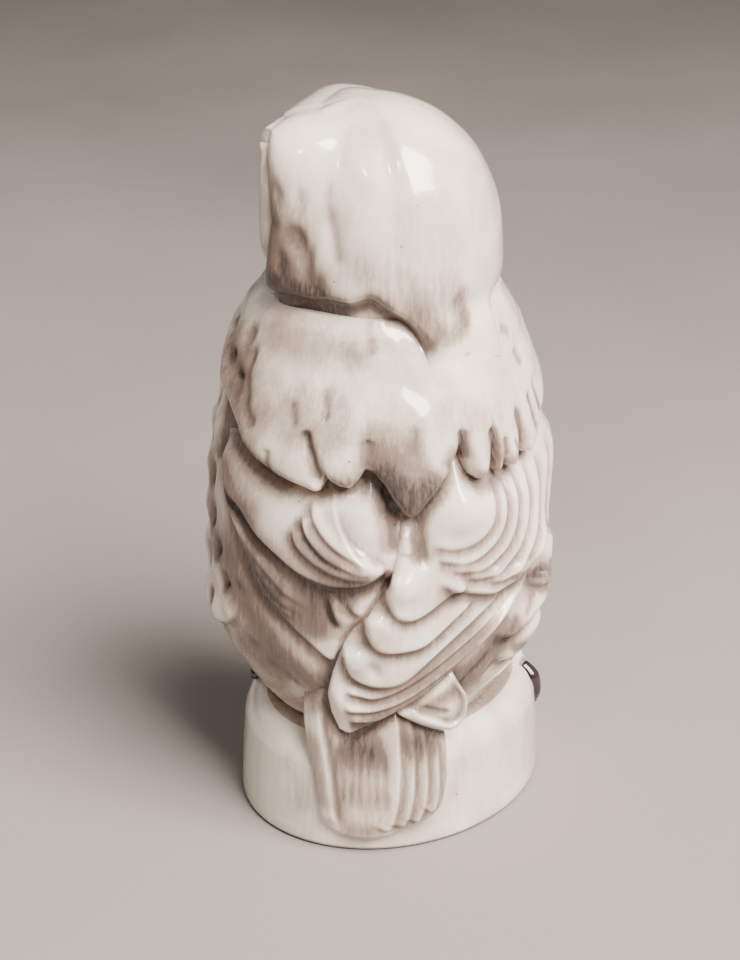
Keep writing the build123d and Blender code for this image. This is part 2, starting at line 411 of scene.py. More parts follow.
def new_material(name):
    """An empty material with its shader and its Object coordinates in millimetres."""
    material = bpy.data.materials.new(name)
    material.use_nodes = True
    tree = material.node_tree
    tree.nodes.clear()
    output = tree.nodes.new("ShaderNodeOutputMaterial")
    shader = tree.nodes.new("ShaderNodeBsdfPrincipled")
    tree.links.new(shader.outputs[0], output.inputs["Surface"])
    place = tree.nodes.new("ShaderNodeTexCoord")
    start = Value(tree, place.outputs["Object"])
    coordinates = start.node("ShaderNodeVectorMath", {"operation": "SCALE"}, _0=start, Scale=1000.0)
    return material, shader, coordinates


def noise(coordinates, stretch, scale, detail=3.0, roughness=0.5):
    """Soft noise of a given size per millimetre, stretched by a factor along each axis."""
    turned = coordinates.node("ShaderNodeVectorMath", {"operation": "MULTIPLY"}, _0=coordinates, _1=stretch)
    return coordinates.node(
        "ShaderNodeTexNoise", Vector=turned, Scale=scale, Detail=detail, Roughness=roughness,
    )


def ivory_glaze_material():
    """Clear glossy glaze over ivory clay. The stain attribute says where brown stain was left and where shade
    is painted.
    """
    material, shader, place = new_material("ivory_glaze")
    tree = material.node_tree
    stain_and_shade = place.node("ShaderNodeAttribute", {"attribute_name": "stain_and_shade"}, output=2)
    streaks = noise(place, (1.0, 1.0, 0.12), 1.7, 3.0, 0.62)
    bristles = noise(place, (1.0, 1.0, 0.1), 5.0, 2.0, 0.6)
    patches = noise(place, (1.0, 1.0, 0.7), 0.13, 2.0)
    grain = noise(place, (1.0, 1.0, 1.0), 1.1, 4.0, 0.65)
    brush = streaks * 1.3 + bristles * 0.9 + 0.08
    brushed = stain_and_shade * brush + (grain - 0.5) * 0.1 + (patches - 0.5) * 0.34 + (streaks - 0.5) * 0.1
    film = (patches - 0.45) * 0.6 + (streaks - 0.5) * 0.25
    ivory = film.between(-0.12, 0.22).mix((0.85, 0.755, 0.655, 1), (0.66, 0.56, 0.465, 1))
    beige = brushed.between(0.0, 0.42).mix(ivory, (0.46, 0.365, 0.295, 1))
    tan = brushed.between(0.28, 0.9).mix(beige, (0.20, 0.142, 0.113, 1))
    umber = brushed.between(0.8, 2.2).mix(tan, (0.045, 0.032, 0.028, 1))
    specks = place.node("ShaderNodeTexVoronoi", {"feature": "F1"}, output=0, Vector=place, Scale=0.22)
    dots = 1 - specks.between(0.012, 0.05)
    speckled = dots.mix(umber, (0.06, 0.045, 0.04, 1))
    tree.links.new(speckled.socket, shader.inputs["Base Color"])
    rough = brushed.between(0.1, 1.0) * 0.25 + 0.2 + (grain - 0.5) * 0.12
    tree.links.new(rough.socket, shader.inputs["Roughness"])
    coat = 0.85 - brushed.between(0.25, 1.1) * 0.6
    tree.links.new(coat.socket, shader.inputs["Coat Weight"])
    shader.inputs["Coat Roughness"].default_value = 0.07
    shader.inputs["Coat IOR"].default_value = 1.5
    ripple = noise(place, (1.0, 1.0, 1.0), 0.4, 2.0)
    height = ripple * 0.8 + brushed * -0.12 + grain * 0.05 + bristles * 0.04
    bump = place.node("ShaderNodeBump", Strength=0.3, Distance=0.0003, Height=height)
    tree.links.new(bump.socket, shader.inputs["Normal"])
    return material


ivory_glaze = ivory_glaze_material()

TRUNK_LEVELS = [
    (16.5, 0.2, 0.5, 16.3, 16.0),
    (19, 0.3, 0.5, 18.4, 17.4),
    (23, 0.4, 0.6, 21.4, 18.9),
    (32, 0.6, 0.7, 24.3, 21.4),
    (44, 0.6, 0.7, 24.5, 22.0),
    (56, 0.4, 0.7, 23.9, 20.6),
    (66, 0.4, 0.6, 21.8, 18.4),
    (73, 0.2, 0.0, 19.8, 16.2),
    (79, -0.2, -0.3, 16.6, 14.2),
]
# Where the pieces on top of the trunk end, as (degrees, height). The mantle's hem runs all the way round.
HEM = [
    (-180, 68), (-140, 69), (-110, 69.5), (-92, 69), (-80, 67.5), (-72, 66), (-65, 65), (-58, 63.6),
    (-49.5, 61.2), (-42, 59.4), (-35, 58.5), (-28.7, 58.1), (-22.7, 57.6), (-17, 57.0), (-15, 57.3),
    (-13.5, 59.6), (-11.5, 58.9), (-8, 58.2), (-4, 58.0), (-1, 59.2), (1.5, 60.7), (4, 60.4), (8.2, 58.6),
    (11.5, 56.4), (14.5, 54.5), (17.4, 53.8), (20.5, 54.4), (23.7, 55.9), (27.6, 57.5), (31.7, 59.6),
    (35, 61.5), (37.6, 62.6), (38.8, 60.6), (40.2, 58.7), (43, 57.8), (46.5, 58.2), (49, 60.2),
    (50.4, 61.4), (51.4, 58.4), (52.6, 57.6), (54.8, 59.8), (57, 58.2), (59.5, 57.8), (62.5, 59.6),
    (64.6, 61.5), (66, 59), (68.6, 58.6), (72, 59.4), (78, 61), (84, 62.4), (95, 64.5), (110, 67),
    (140, 68.5), (180, 68),
]
MANTLE_OUTLINE = [(-220, 68), *HEM, (220, 68), (220, 96), (-220, 96)]
LEFT_WING_LEFT = [
    (36, 17.8), (31, 18.3), (22.5, 20.5), (13, 22.7), (3, 26.5), (-12, 31), (-27, 35.3), (-41, 39.2),
    (-51, 45.6), (-60.5, 52), (-67, 59), (-72, 66),
]
LEFT_WING_RIGHT = [
    (37, 17.8), (40, 19), (41, 20.5), (39.5, 24.5), (34.5, 28.5), (26, 34), (20, 40), (17, 46), (16, 52),
    (15, 66),
]
RIGHT_WING_LEFT = [
    (-7, 19.1), (-9.9, 19.7), (-12.5, 22.8), (-13, 26.1), (-10.8, 29.7), (-8.4, 32.3), (-6.5, 34.3),
    (-3, 36.5), (2, 38.6), (6.5, 41.2), (9.5, 43.6), (12, 46.7), (14, 52), (15, 66),
]
RIGHT_WING_RIGHT = [
    (-5, 19.1), (0.5, 20.4), (6.5, 22.0), (12.5, 23.7), (21.9, 25.8), (30.6, 28.2), (40.4, 31.6),
    (47.2, 34.0), (54.6, 36.4), (62.8, 39.0), (68.3, 41.1), (74.3, 43.2), (81.8, 45.8), (92, 50), (100, 56),
    (104, 66),
]
RIGHT_WING_LOWER_OUTLINE = [*RIGHT_WING_LEFT[:11], (60, 43.6), *RIGHT_WING_RIGHT[9::-1]]
LEFT_WING_OUTLINE = [*LEFT_WING_LEFT, *LEFT_WING_RIGHT[::-1]]
RIGHT_WING_OUTLINE = [*RIGHT_WING_LEFT, *RIGHT_WING_RIGHT[::-1]]


def round_form(name, levels, around, rings):
    """A closed ball drawn out over a form's levels: its mesh, and each corner's angle and height."""
    mesh = ball_mesh(name, around, rings)
    places, edges = mesh_arrays(mesh)
    angle, latitude = round_and_up(places)
    height = levels[0][0] + latitude * (levels[-1][0] - levels[0][0])
    return mesh, edges, angle, height, latitude


def closed_pole(places, latitude, axis, share=0.012):
    """Draws a ball's first and last rings in to its axis."""
    pull = smooth_step(0, share, latitude) * smooth_step(0, share, 1 - latitude)
    places[:, :2] = axis + (places[:, :2] - axis) * pull[:, None]
    return places


def breast_feather(clay, place, width, length, height, stain_and_shade):
    """One soft scallop: a rounded tip that stands over a small dark hollow."""
    angle, top = place
    half = width / 2 / ROUND
    tip = [
        (angle - half, top),
        (angle - half * 0.75, top - length * 0.6),
        (angle, top - length),
        (angle + half * 0.75, top - length * 0.6),
        (angle + half, top),
    ]
    clay.ledge(tip, height, width * 0.4, stain_and_shade, lip=0.5, fade=0.3)
    clay.swell((angle, top - length - 0.7), (width * 0.2, 0.8), -height * 0.6)


mesh, edges, angle, height, latitude = round_form("trunk_body", TRUNK_LEVELS, 420, 200)
trunk = Sheet(angle, height, edges)
# The body lies a little below the wings' levels, so that they stand proud of it.
trunk.lift -= 0.45
# Breast feathers: staggered rows from the right flank round the front to the left one, none quite alike.
FEATHER_ROWS = 9
FEATHER_ROW_HEIGHT = 5.4
FEATHER_COLUMNS = 16
FEATHER_STEP = 12.5
for row in range(FEATHER_ROWS):
    top = 66 - row * FEATHER_ROW_HEIGHT
    offset = FEATHER_STEP / 2 * (row % 2)
    for column in range(FEATHER_COLUMNS):
        place = 68 + offset + column * FEATHER_STEP + 2.0 * math.sin(row * 2.3 + column * 1.7)
        size = 4.6 + 0.7 * math.sin(row * 1.3 + column * 2.9)
        for turned_to in (place, place - 360):
            if 92 < place < 285 and abs(turned_to) < 190:
                breast_feather(trunk, (turned_to, top), size, 4.4, 0.9, 0.55)
# The flank beside the left wing: softer lobes with deep pits.
for place, size in (
    ((-84, 63), 1.0), ((-83, 57), 1.2), ((-70, 57.5), 1.1), ((-74, 52), 1.0), ((-85, 50.5), 1.2),
    ((-71, 45.5), 1.1), ((-84, 44), 1.0), ((-65, 42.0), 0.9), ((-76, 39), 1.1), ((-60, 37.6), 0.9),
    ((-70, 33), 1.0),
):
    trunk.swell(place, (1.0 * size, 1.7 * size), -1.1)
    trunk.swell((place[0] - 5, place[1] + 1.5), (1.5, 2.0), 0.5)
    trunk.smudge([(place[0], place[1] + 1), (place[0] + 0.5, place[1] - 1.2)], 0.8 * size, 0.9, fade=0)
trunk.swell((-68, 32), (3.4, 2.6), 0.9, turn=-20)
trunk.swell((-52, 33.6), (2.6, 2.0), 0.5, turn=-20)
trunk.ledge([(-84, 33), (-72, 29.5), (-58, 31.5), (-50, 34.5)], 0.8, 3.0, 0.4)
# Broad dark smudges on the left flank and under the wings: stain, and painted shade on the side away from the
# key light.
trunk.smudge([(-64, 49), (-54, 40), (-42, 34), (-24, 28), (0, 24)], 3.0, 0.75)
trunk.smudge([(-62, 29), (-44, 27), (-28, 25)], 3.6, 0.6)
trunk.smudge([(-80, 60), (-72, 46), (-64, 38)], 3.6, 0.5)
trunk.swell((2, 27), (13, 9), 2.1)
trunk.swell((-20, 30), (5, 5), 0.5)
trunk.uneven(11, 10, 0.12)
for place in ((-58, 37.6), (-50, 38.5), (-46, 30), (-38, 27.6), (-28, 26)):
    trunk.swell(place, (1.6, 0.8), -0.4, turn=-25)
    trunk.smudge([(place[0] - 3, place[1] + 0.6), (place[0] + 3, place[1] - 0.6)], 0.7, 0.35)
# The flank below the right wing: leaf shaped feathers with a dark pit between them.
trunk.ledge([(52, 32.6), (60, 31.2), (72, 33.5), (80, 37), (80, 40.5)], 1.7, 2.5, 1.0, lip=0.4)
trunk.ledge([(56, 27.6), (64, 26.6), (74, 28.4), (86, 33)], 1.6, 2.2, 0.9, lip=0.4)
trunk.ledge([(68, 38.6), (76, 37), (84, 38.6), (92, 43)], 1.6, 2.0, 1.0, lip=0.4)
trunk.swell((84, 41.0), (2.6, 1.6), 1.4, turn=15)
trunk.swell((90, 46.5), (1.6, 1.3), 1.0)
trunk.swell((72, 35.0), (3.4, 1.2), 0.9, turn=20)
trunk.swell((70, 30), (3.4, 1.0), 0.7, turn=20)
trunk.swell((75, 38.4), (1.8, 0.9), -1.6)
trunk.swell((84, 45), (1.4, 0.9), -0.5)
trunk.smudge([(82, 45), (86, 45)], 0.8, 0.4, fade=0)
trunk.smudge([(71, 38.6), (79, 38.4)], 1.0, 1.4, fade=0)
trunk.smudge([(63, 28.6), (69, 27.8)], 0.7, 1.3, fade=0)
trunk.smudge([(36, 25), (48, 27.6), (56, 31), (62, 35)], 2.2, 1.0)
trunk.smudge([(40, 23), (54, 25)], 1.6, 0.6)
for place in ((44, 26), (50, 28), (55, 26), (60, 33), (68, 35), (63, 31)):
    stroke = [(place[0] - 4, place[1] - 1.6), (place[0], place[1]), (place[0] + 3, place[1] + 1.6)]
    trunk.groove(stroke, 0.5, 0.4, 0.35)
# A band round the body just above the plinth: stain and painted shade where the body meets it.
trunk.smudge([(-150, 18), (-90, 19), (-40, 21), (0, 22), (60, 21), (120, 19), (160, 18)], 1.8, 0.5, fade=0)
# Painted shade, with some stain, along the edges of the wings that lie over the trunk.
trunk.tuck_under(LEFT_WING_OUTLINE, 0.5, 1.6, 0.75)
trunk.tuck_under(RIGHT_WING_OUTLINE, 0.5, 1.4, 0.95)
# The spine between the wings is shallow, so it was wiped nearly clean.
spine_gap = np.exp(-((trunk.across - 1) / 6) ** 2)
spine_gap = spine_gap * smooth_step(26, 34, trunk.up) * (1 - smooth_step(46, 52, trunk.up))
trunk.stain_and_shade *= 1 - 0.75 * spine_gap
# Painted shade, with some stain, under the mantle's hem.
trunk.tuck_under(MANTLE_OUTLINE, 0.6, 2.0, 0.8)
trunk.wipe(14, 0.35, 0.6)
trunk.lift = trunk.blurred(trunk.lift, 2)
places = closed_pole(wrapped(TRUNK_LEVELS, angle, height, trunk.lift), latitude, np.array([0.2, 0.5]))
finished("trunk_body", mesh, places, trunk.stain_and_shade, ivory_glaze, ["trunk"])


# ---------------------------------------------------------------------------
# Wings: two folded wings modelled as slabs and luted on with slip, the right one over the left one's tip.
# Rounded coverts overlap the tertials, and the long primaries run under them as narrow parallel ridges.
WING_LEVELS = [
    (15, 0.0, 0.7, 20.0, 23.0),
    (22, 0.0, 0.7, 22.0, 23.9),
    (32, 0.2, 0.7, 24.6, 24.3),
    (44, 0.2, 0.7, 25.4, 24.0),
    (56, 0.2, 0.7, 24.8, 22.2),
    (66, 0.2, 0.6, 22.6, 19.8),
]


WING_THICKNESS = 1.7


def wing_sheet(name, left_side, right_side, columns, rows):
    """A slab between two side edges, each a list of (degrees, height) from the bottom up."""
    mesh = slab_mesh(name, columns, rows)
    places, edges = mesh_arrays(mesh)
    left = np.array(left_side, float)
    right = np.array(right_side, float)
    low = left[0, 1]
    high = left[-1, 1]
    share = (places[:, 1] + 1) / 2
    height = low + (high - low) * share
    from_left = (places[:, 0] + 1) / 2
    left_angle = np.interp(height, left[:, 1], left[:, 0])
    right_angle = np.interp(height, right[:, 1], right[:, 0])
    clay = Sheet(left_angle + (right_angle - left_angle) * from_left, height, edges)
    outline = np.vstack([left, right[::-1]]) * (ROUND, 1)
    inside = signed_inside(clay.across, clay.up, outline)
    return mesh, clay, places[:, 2] > 0.5, inside


def finish_wing(name, mesh, levels, clay, on_top, inside, thickness, edge, node):
    """Rounds the slab's rim over and wraps it round the body."""
    clay.wipe(24, 0.35, 0.65)
    clay.lift = clay.blurred(clay.lift, 2)
    rim = 1 - np.clip(inside / edge, 0, 1)
    rounded = clay.lift - edge * (1 - np.sqrt(1 - rim ** 2))
    lift = np.where(on_top, rounded, clay.lift - thickness)
    places = wrapped(levels, clay.across / ROUND, clay.up, lift)
    return finished(name, mesh, places, clay.stain_and_shade, ivory_glaze, [node])


left_mesh, left_wing, left_top, left_inside = wing_sheet(
    "left_wing_feathers", LEFT_WING_LEFT, LEFT_WING_RIGHT, 200, 260,
)
left_wing.lift -= 1.8
# Painted shade, with some stain, under the mantle's hem and the right wing's edge.
left_wing.tuck_under(MANTLE_OUTLINE, 0.9, 2.6, 0.75)
left_wing.tuck_under(RIGHT_WING_LOWER_OUTLINE, 1.1, 0.8, 0.12)
left_wing.swell((17, 42), (3.4, 3.4), -1.2)
# Painted shade, with some stain, under the mantle's hem beside the V.
left_wing.smudge([(-3, 58.4), (5, 57.4), (12, 54.8), (16, 53)], 1.1, 1.0)
left_wing.smudge([(-18, 56), (-10, 57), (-4, 57.4)], 0.8, 0.5)
left_wing.uneven(11, 9, 0.1)
# Covert group: a full soft lobe whose rounded lower edge stands well above the primaries.
covert_edge = [(-66, 61), (-56, 53.6), (-47, 50.8), (-38, 48.2), (-28.6, 46.0), (-19.6, 44.3), (-9.8, 43.4),
               (-0.5, 43.8), (6, 45.0), (9, 46.6)]
left_wing.ledge(covert_edge, 1.7, 7.5, 1.1, lip=0.75, fade=0.06)
left_wing.smudge(covert_edge, 1.7, 0.5, fade=0.08)
left_wing.swell((-34, 52.5), (5, 3.6), 0.5, turn=-35)
left_wing.swell((-4, 54.2), (5.6, 4.4), 1.7, turn=-32)
for path, height, dark in (
    ([(-19, 55.4), (-17.2, 52.8), (-10.4, 49.8), (-2.4, 48), (4.6, 46.8)], 0.55, 0.55),
    ([(-22, 53.6), (-19.8, 51), (-12.8, 48.2), (-3.8, 46.6), (5.4, 45.8)], 0.75, 0.95),
    ([(-25, 51.6), (-22.4, 49.2), (-15, 46.8), (-5.4, 45.4), (5.4, 45.2)], 0.7, 0.8),
):
    left_wing.ledge(path, height, 1.0, dark, lip=0.4, fade=0.16)
left_wing.smudge([(-24, 51), (-18, 49.4), (-11, 48), (-4, 46.8)], 1.3, 0.45)
# Painted shade with stain under the hem's left part, and broad over the wing's top left, away from the light.
left_wing.smudge([(-66, 61.6), (-52, 60), (-38, 57.4), (-24, 56.4)], 1.8, 0.6)
left_wing.smudge([(-64, 58), (-50, 53), (-36, 51)], 3.0, 0.4)
left_wing.smudge([(6, 57), (9, 52), (11, 47.6)], 1.5, 0.5)
left_wing.groove([(9.5, 56), (11.5, 52), (11, 47.6)], 1.0, 0.5, 0.25)
# Primaries: long narrow ridges that follow the wing's outer edge down to the tip.
outer = np.array([(-68, 59), (-60.5, 52), (-51, 45.6), (-41, 39.2), (-27, 35.3), (-12, 31), (3, 26.5)], float)
inner = np.array([(-60, 55.5), (-53, 50.5), (-41, 45.8), (-28, 42.0), (-15, 39.5), (-4, 36), (6, 32)], float)
for share, fade in ((0.25, 0.1), (0.5, 0.16), (0.78, 0.22)):
    left_wing.ledge((outer + (inner - outer) * share)[:5], 0.6, 1.2, 0.5, lip=0.5, fade=fade)
left_wing.smudge([(-54, 47), (-40, 42), (-26, 38.6), (-10, 35)], 3.6, 0.75)
for place in (-18, -14.5, -11, -7.5, -4):
    left_wing.smudge([(place, 43), (place + 1, 38), (place + 2, 33.5)], 0.8, 0.3)
left_wing.smudge([(-26, 42.5), (-12, 41.2), (0, 42)], 2.0, 0.55)
left_wing.swell((-8.5, 39.8), (0.9, 2.2), 1.2, turn=28)
left_wing.groove([(-12.5, 41.6), (-11, 38.4), (-7.6, 36.6)], 0.6, 0.5, 0.8)
left_wing.swell((-4, 40.2), (0.8, 1.6), 0.6, turn=35)
left_wing.groove([(-6.5, 42), (-3.4, 39.2), (-0.5, 38.2)], 0.6, 0.4, 0.7)
# The tip that shows below the right wing, dished inside a raised rim.
tip_rim = [(34, 27), (38, 24), (37.6, 20.6), (33, 20.0), (24, 22.3), (14, 24.4)]
left_wing.ledge(tip_rim, 0.9, 1.4, 0.3, lip=0.4)
left_wing.swell((27, 23), (7, 4), 0.9)
left_wing.swell((27, 24), (5.0, 1.8), -0.4, turn=18)
left_wing.smudge([(14, 24), (22, 24.4), (32, 25), (36, 28)], 1.3, 0.5)
left_wing.groove([(20, 24.2), (27, 22.9), (34, 22.0)], 0.5, 0.4, 0.5)
finish_wing(
    "left_wing_feathers", left_mesh, WING_LEVELS, left_wing, left_top, left_inside, WING_THICKNESS, 1.0,
    "left_wing",
)

right_mesh, right_wing, right_top, right_inside = wing_sheet(
    "right_wing_feathers", RIGHT_WING_LEFT, RIGHT_WING_RIGHT, 240, 280,
)
right_wing.lift -= 1.2
low_side = (1 - smooth_step(40, 48, right_wing.up)) * (1 - smooth_step(30, 60, right_wing.across / ROUND))
right_wing.lift -= 0.9 * low_side
# Painted shade, with some stain, under the mantle's hem.
right_wing.tuck_under(MANTLE_OUTLINE, 1.2, 2.4, 0.6)
# Covert group: one big glossy lobe, nested feather edges round its outer and lower side.
right_wing.swell((36.5, 54), (5.4, 4.9), 2.5, turn=-25)
right_wing.swell((60, 50), (7.5, 6.0), 0.9, turn=-35)
right_wing.swell((88, 57), (5.5, 6.0), 0.9)
for path, height in (
    ([(24, 49.6), (32, 48.6), (40, 49.2), (46, 51.8), (49, 58)], 0.35),
    ([(26, 47.3), (34, 46.4), (43, 46.8), (50.6, 50.0), (55, 58)], 0.6),
    ([(30, 45.6), (38, 44.8), (47, 45.2), (55.4, 48.6), (61, 58)], 0.7),
    ([(36, 43.9), (44, 43.3), (52, 44.0), (61, 47.8), (67.5, 58)], 0.7),
    ([(44, 42.6), (52, 42.1), (60, 43.6), (68.5, 48.2), (75, 58.6)], 0.7),
    ([(54, 41.7), (62, 42.4), (70, 45), (77, 50), (84, 59)], 0.6),
    ([(64, 42.8), (72, 44.8), (80, 48), (87, 53), (92, 60)], 0.55),
    ([(76, 45.4), (84, 48.4), (92, 53), (98, 60)], 0.5),
):
    right_wing.ledge(path, height, 1.1, 0.42, lip=0.4, fade=0.12)
group_edge = [(26, 44.2), (33, 42.2), (42, 40.8), (52, 40.4), (62, 41.2), (72, 43.6), (82, 47)]
right_wing.ledge(group_edge, 1.1, 3.5, 0.8, lip=0.5, fade=0.15)
# Tertials: a chain of glossy rounded tips, each lapping over the next one down.
for centre, size, bulge, edge in (
    ((16.5, 43.4), (3.2, 3.2), 1.9,
     [(7.6, 46), (8.6, 42.6), (11.6, 39.8), (17.3, 38.6), (23, 39.3), (31, 41.4), (38, 43)]),
    ((9.4, 37.8), (3.4, 2.8), 1.8,
     [(0.8, 40.0), (2.4, 36.4), (5.6, 34.4), (12, 33.4), (21.4, 34.0), (31, 37.0), (42, 40.6)]),
    ((1.4, 32.4), (3.6, 2.4), 1.5,
     [(-6.5, 34.6), (-5, 31.4), (-2, 29.0), (5.8, 27.7), (15.5, 28.6), (28, 32.6), (42, 37), (54, 40.6)]),
):
    right_wing.ledge(edge, 1.0, 2.8, 0.5, lip=0.5, fade=0.08)
    right_wing.swell(centre, size, bulge, turn=15)
    right_wing.smudge(edge[2:6], 0.7, 0.2)
right_wing.swell((-8.2, 25.6), (2.2, 3.6), 1.6, turn=12)
right_wing.swell((4.5, 31.0), (0.9, 1.8), -0.5, turn=30)
# Primaries: narrow ridges sweeping down to the tip.
for path, height in (
    ([(-7, 27.4), (-1, 26.2), (5.6, 25.8), (18.4, 28.0), (38.1, 33.2), (54, 38.2)], 0.75),
    ([(-7, 24.4), (-2, 23.6), (5.5, 23.8), (18.3, 26.2), (38.4, 31.6), (60, 38.6)], 0.8),
    ([(-6, 21.8), (-1, 21.8), (6, 22.4), (17, 24.7), (33, 28.9), (50, 34.8), (68, 41)], 0.75),
    ([(-2, 20.4), (4, 21.4), (16, 24.0), (30, 27.6), (46, 33.0), (62, 38.6), (76, 43.6)], 0.5),
):
    right_wing.ledge(path, height, 0.9, 0.55, lip=0.36, fade=0.13)
right_wing.smudge([(2, 21.4), (14, 24.2), (30, 28.4), (46, 33.6)], 1.2, 0.4)
right_wing.smudge([(-6, 21), (0, 21.4), (8, 23)], 1.0, 0.5)
right_wing.smudge([(14, 27), (30, 31.6), (48, 37)], 1.2, 0.25)
# Spine gap, and painted shade with some stain under the hem.
right_wing.smudge([(17, 53), (23, 54.6), (29, 57.6), (35, 61)], 0.9, 0.8)
right_wing.smudge([(36, 60), (44, 57), (52, 57), (64, 59)], 0.8, 0.6)
right_wing.groove([(21.5, 55), (21, 50), (22.5, 45.6)], 1.1, 0.8, 0.4)
right_wing.smudge([(19.5, 54), (19.5, 50), (20.4, 46.6)], 1.2, 0.75)
right_wing.smudge([(13, 55), (12.4, 50)], 1.1, 0.45)
right_wing.ridge([(15.8, 52), (16.2, 48)], 1.0, 0.5)
finish_wing(
    "right_wing_feathers", right_mesh, WING_LEVELS, right_wing, right_top, right_inside, WING_THICKNESS, 0.9,
    "right_wing",
)


# ---------------------------------------------------------------------------
# Tail: a thick tongue of stepped feathers from under the wings, down over the plinth's shoulder and wall,
# pressed on with slip. The middle feather is the widest.
TAIL_LEVELS = [
    (1.5, -1.0, 0.0, 22.0, 24.2),
    (10, -1.0, 0.0, 22.0, 23.5),
    (18, -0.5, 0.4, 22.0, 22.4),
    (26, 0.0, 0.7, 23.0, 21.6),
    (36, 0.0, 0.7, 24.0, 21.0),
]
TAIL_LEFT = [
    (-6, 2.6), (-11, 3.0), (-15.5, 3.8), (-18.5, 6), (-20.5, 9.3), (-22.8, 14), (-24.6, 19.2), (-27, 25),
    (-32, 33),
]
TAIL_RIGHT = [
    (0, 2.6), (6, 3.2), (11, 4.0), (17, 4.8), (22, 5.6), (26.3, 7.2), (29.4, 11.8), (31, 18.3), (33, 24),
    (34, 33),
]
TAIL_THICKNESS = 2.2
tail_mesh, tail, tail_top, tail_inside = wing_sheet("tail_feathers", TAIL_LEFT, TAIL_RIGHT, 170, 190)
tail.lift -= 0.25 + 0.3 * smooth_step(20, 31, tail.up)
# Its outer corner sinks into the stained flank.
outer_corner = smooth_step(19, 29, tail.up) * (1 - smooth_step(-26, -14, tail.across / ROUND))
tail.lift -= 2.4 * outer_corner
tail.stain_and_shade += 0.5 * outer_corner
tail.smudge([(-24, 29), (-18, 26), (-14, 22)], 3.0, 0.45)
tail.stain_and_shade += 0.1
# Painted shade, with some stain, under the wings' edges.
tail.tuck_under(RIGHT_WING_OUTLINE, 0.6, 1.2, 1.0)
tail.tuck_under(LEFT_WING_OUTLINE, 0.6, 1.2, 0.8)
middle_feather = [(-11.5, 4), (-13, 8.6), (-14.6, 15), (-16.3, 20), (-16.5, 27)]
tail.ledge(middle_feather, 0.75, 2.6, 0.55, lip=0.45, fade=0.14)
for low_angle, low_height, middle_angle, top_angle, step in (
    (7, 4.2, 9.6, 12.5, 0.6),
    (12, 4.8, 14.6, 17.5, 0.6),
    (17, 5.4, 19.4, 22, 0.6),
    (21.5, 6.6, 24, 26.5, 0.5),
):
    edge = [(low_angle, low_height), (middle_angle, 8), (middle_angle + 1.8, 14), (top_angle, 24)]
    tail.ledge(edge, step, 1.5, 0.35, lip=0.35, fade=0.02)
for place in (-9, -6, -3, 0, 3, 6):
    tail.groove([(place, 17), (place - 0.4, 12), (place - 0.8, 7)], 0.5, 0.12, 0.18)
# The dark band across the tail's top is painted shadow under the right wing's tip, with some stain.
tail.smudge([(-12, 17.6), (-2, 16.8), (8, 17.4)], 2.6, 1.1)
tail.smudge([(12, 17.6), (20, 18.4), (28, 19)], 2.4, 0.8)
tail.smudge([(-10, 11), (0, 9), (8, 11)], 2.4, 0.2)
tail.smudge([(-21, 20), (-19, 12), (-16, 6)], 1.6, 0.3)
tail.smudge([(-11, 4.6), (-4, 4.0), (5, 4.4)], 1.3, 0.35)
tail.swell((-3, 9.5), (3.6, 4), 0.25)
finish_wing("tail_feathers", tail_mesh, TAIL_LEVELS, tail, tail_top, tail_inside, TAIL_THICKNESS, 0.8, "tail")


# ---------------------------------------------------------------------------
# Mantle: the cape of long neck feathers round the shoulders, pressed as a collar and luted on over the wings.
# Its ragged hem hangs over them in soft pointed locks, with deep stain under it.
MANTLE_LEVELS = [
    (50, 0.2, 0.7, 25.2, 23.6),
    (58, 0.2, 0.7, 24.9, 23.0),
    (66, 0.2, 0.6, 23.3, 20.7),
    (73, 0.1, -0.1, 20.9, 17.7),
    (77, 0.0, -0.2, 18.9, 16.2),
    (80, -0.2, -0.3, 16.9, 14.8),
    (86, -0.3, -0.3, 16.2, 15.2),
]
mantle_mesh = ball_mesh("mantle_cape", 620, 130)
ball_places, edges = mesh_arrays(mantle_mesh)
angle, latitude = round_and_up(ball_places)
hem = np.array(HEM, float)
hem_height = np.interp(angle, hem[:, 0], hem[:, 1])
nape = smooth_step(16, 34, angle) * (1 - smooth_step(78, 96, angle))
collar_top = 79.4 + 2 * nape
# The first tenth of the ball is the underside, which is tucked in below the hem.
LIP_SHARE = 0.1
UNDERSIDE_TUCK = 5
share = np.clip((latitude - LIP_SHARE) / (0.97 - LIP_SHARE), 0, 1)
height = hem_height + (collar_top - hem_height) * share
mantle = Sheet(angle, height, edges)
mantle.lift -= 0.35
mantle.uneven(9, 11, 0.16)
mantle.uneven(16, 7, 0.08)
hem_gap = signed_inside(mantle.across, mantle.up, np.array(MANTLE_OUTLINE, float) * (ROUND, 1))
# Locks near the hem, each swelling out towards its tip, and the gaps that run up from the notches.
for place, size, lift, turn in (
    ((-44, 62.5), (4.0, 2.6), 0.4, -20), ((-27, 60.5), (3.2, 2.6), 0.5, -15), ((-8, 61), (2.4, 3.0), 0.5, 0),
    ((16, 58), (2.8, 3.6), 0.5, 0), ((43.5, 60.8), (1.4, 2.4), 0.8, 8), ((57, 61), (2.0, 2.4), 0.4, 0),
    ((69, 62), (1.4, 3.0), 0.6, 0), ((-70, 69.5), (3.0, 3.0), 0.6, 0), ((-50, 70), (4.0, 5.0), 0.4, 0),
    ((-30, 70), (5.0, 6.0), 0.3, 0), ((10, 68), (7.0, 6.0), 0.3, 0), ((45, 70), (6.0, 5.0), 0.35, 0),
    ((-12, 72), (3.0, 6.0), -0.3, 0), ((30, 70), (2.5, 7.0), -0.3, 0), ((64, 70), (2.5, 6.0), -0.25, 0),
    ((-60, 66.5), (2.5, 3.0), -0.3, 0), ((2, 64), (2.0, 4.0), -0.4, 0),
):
    mantle.swell(place, size, lift, turn)
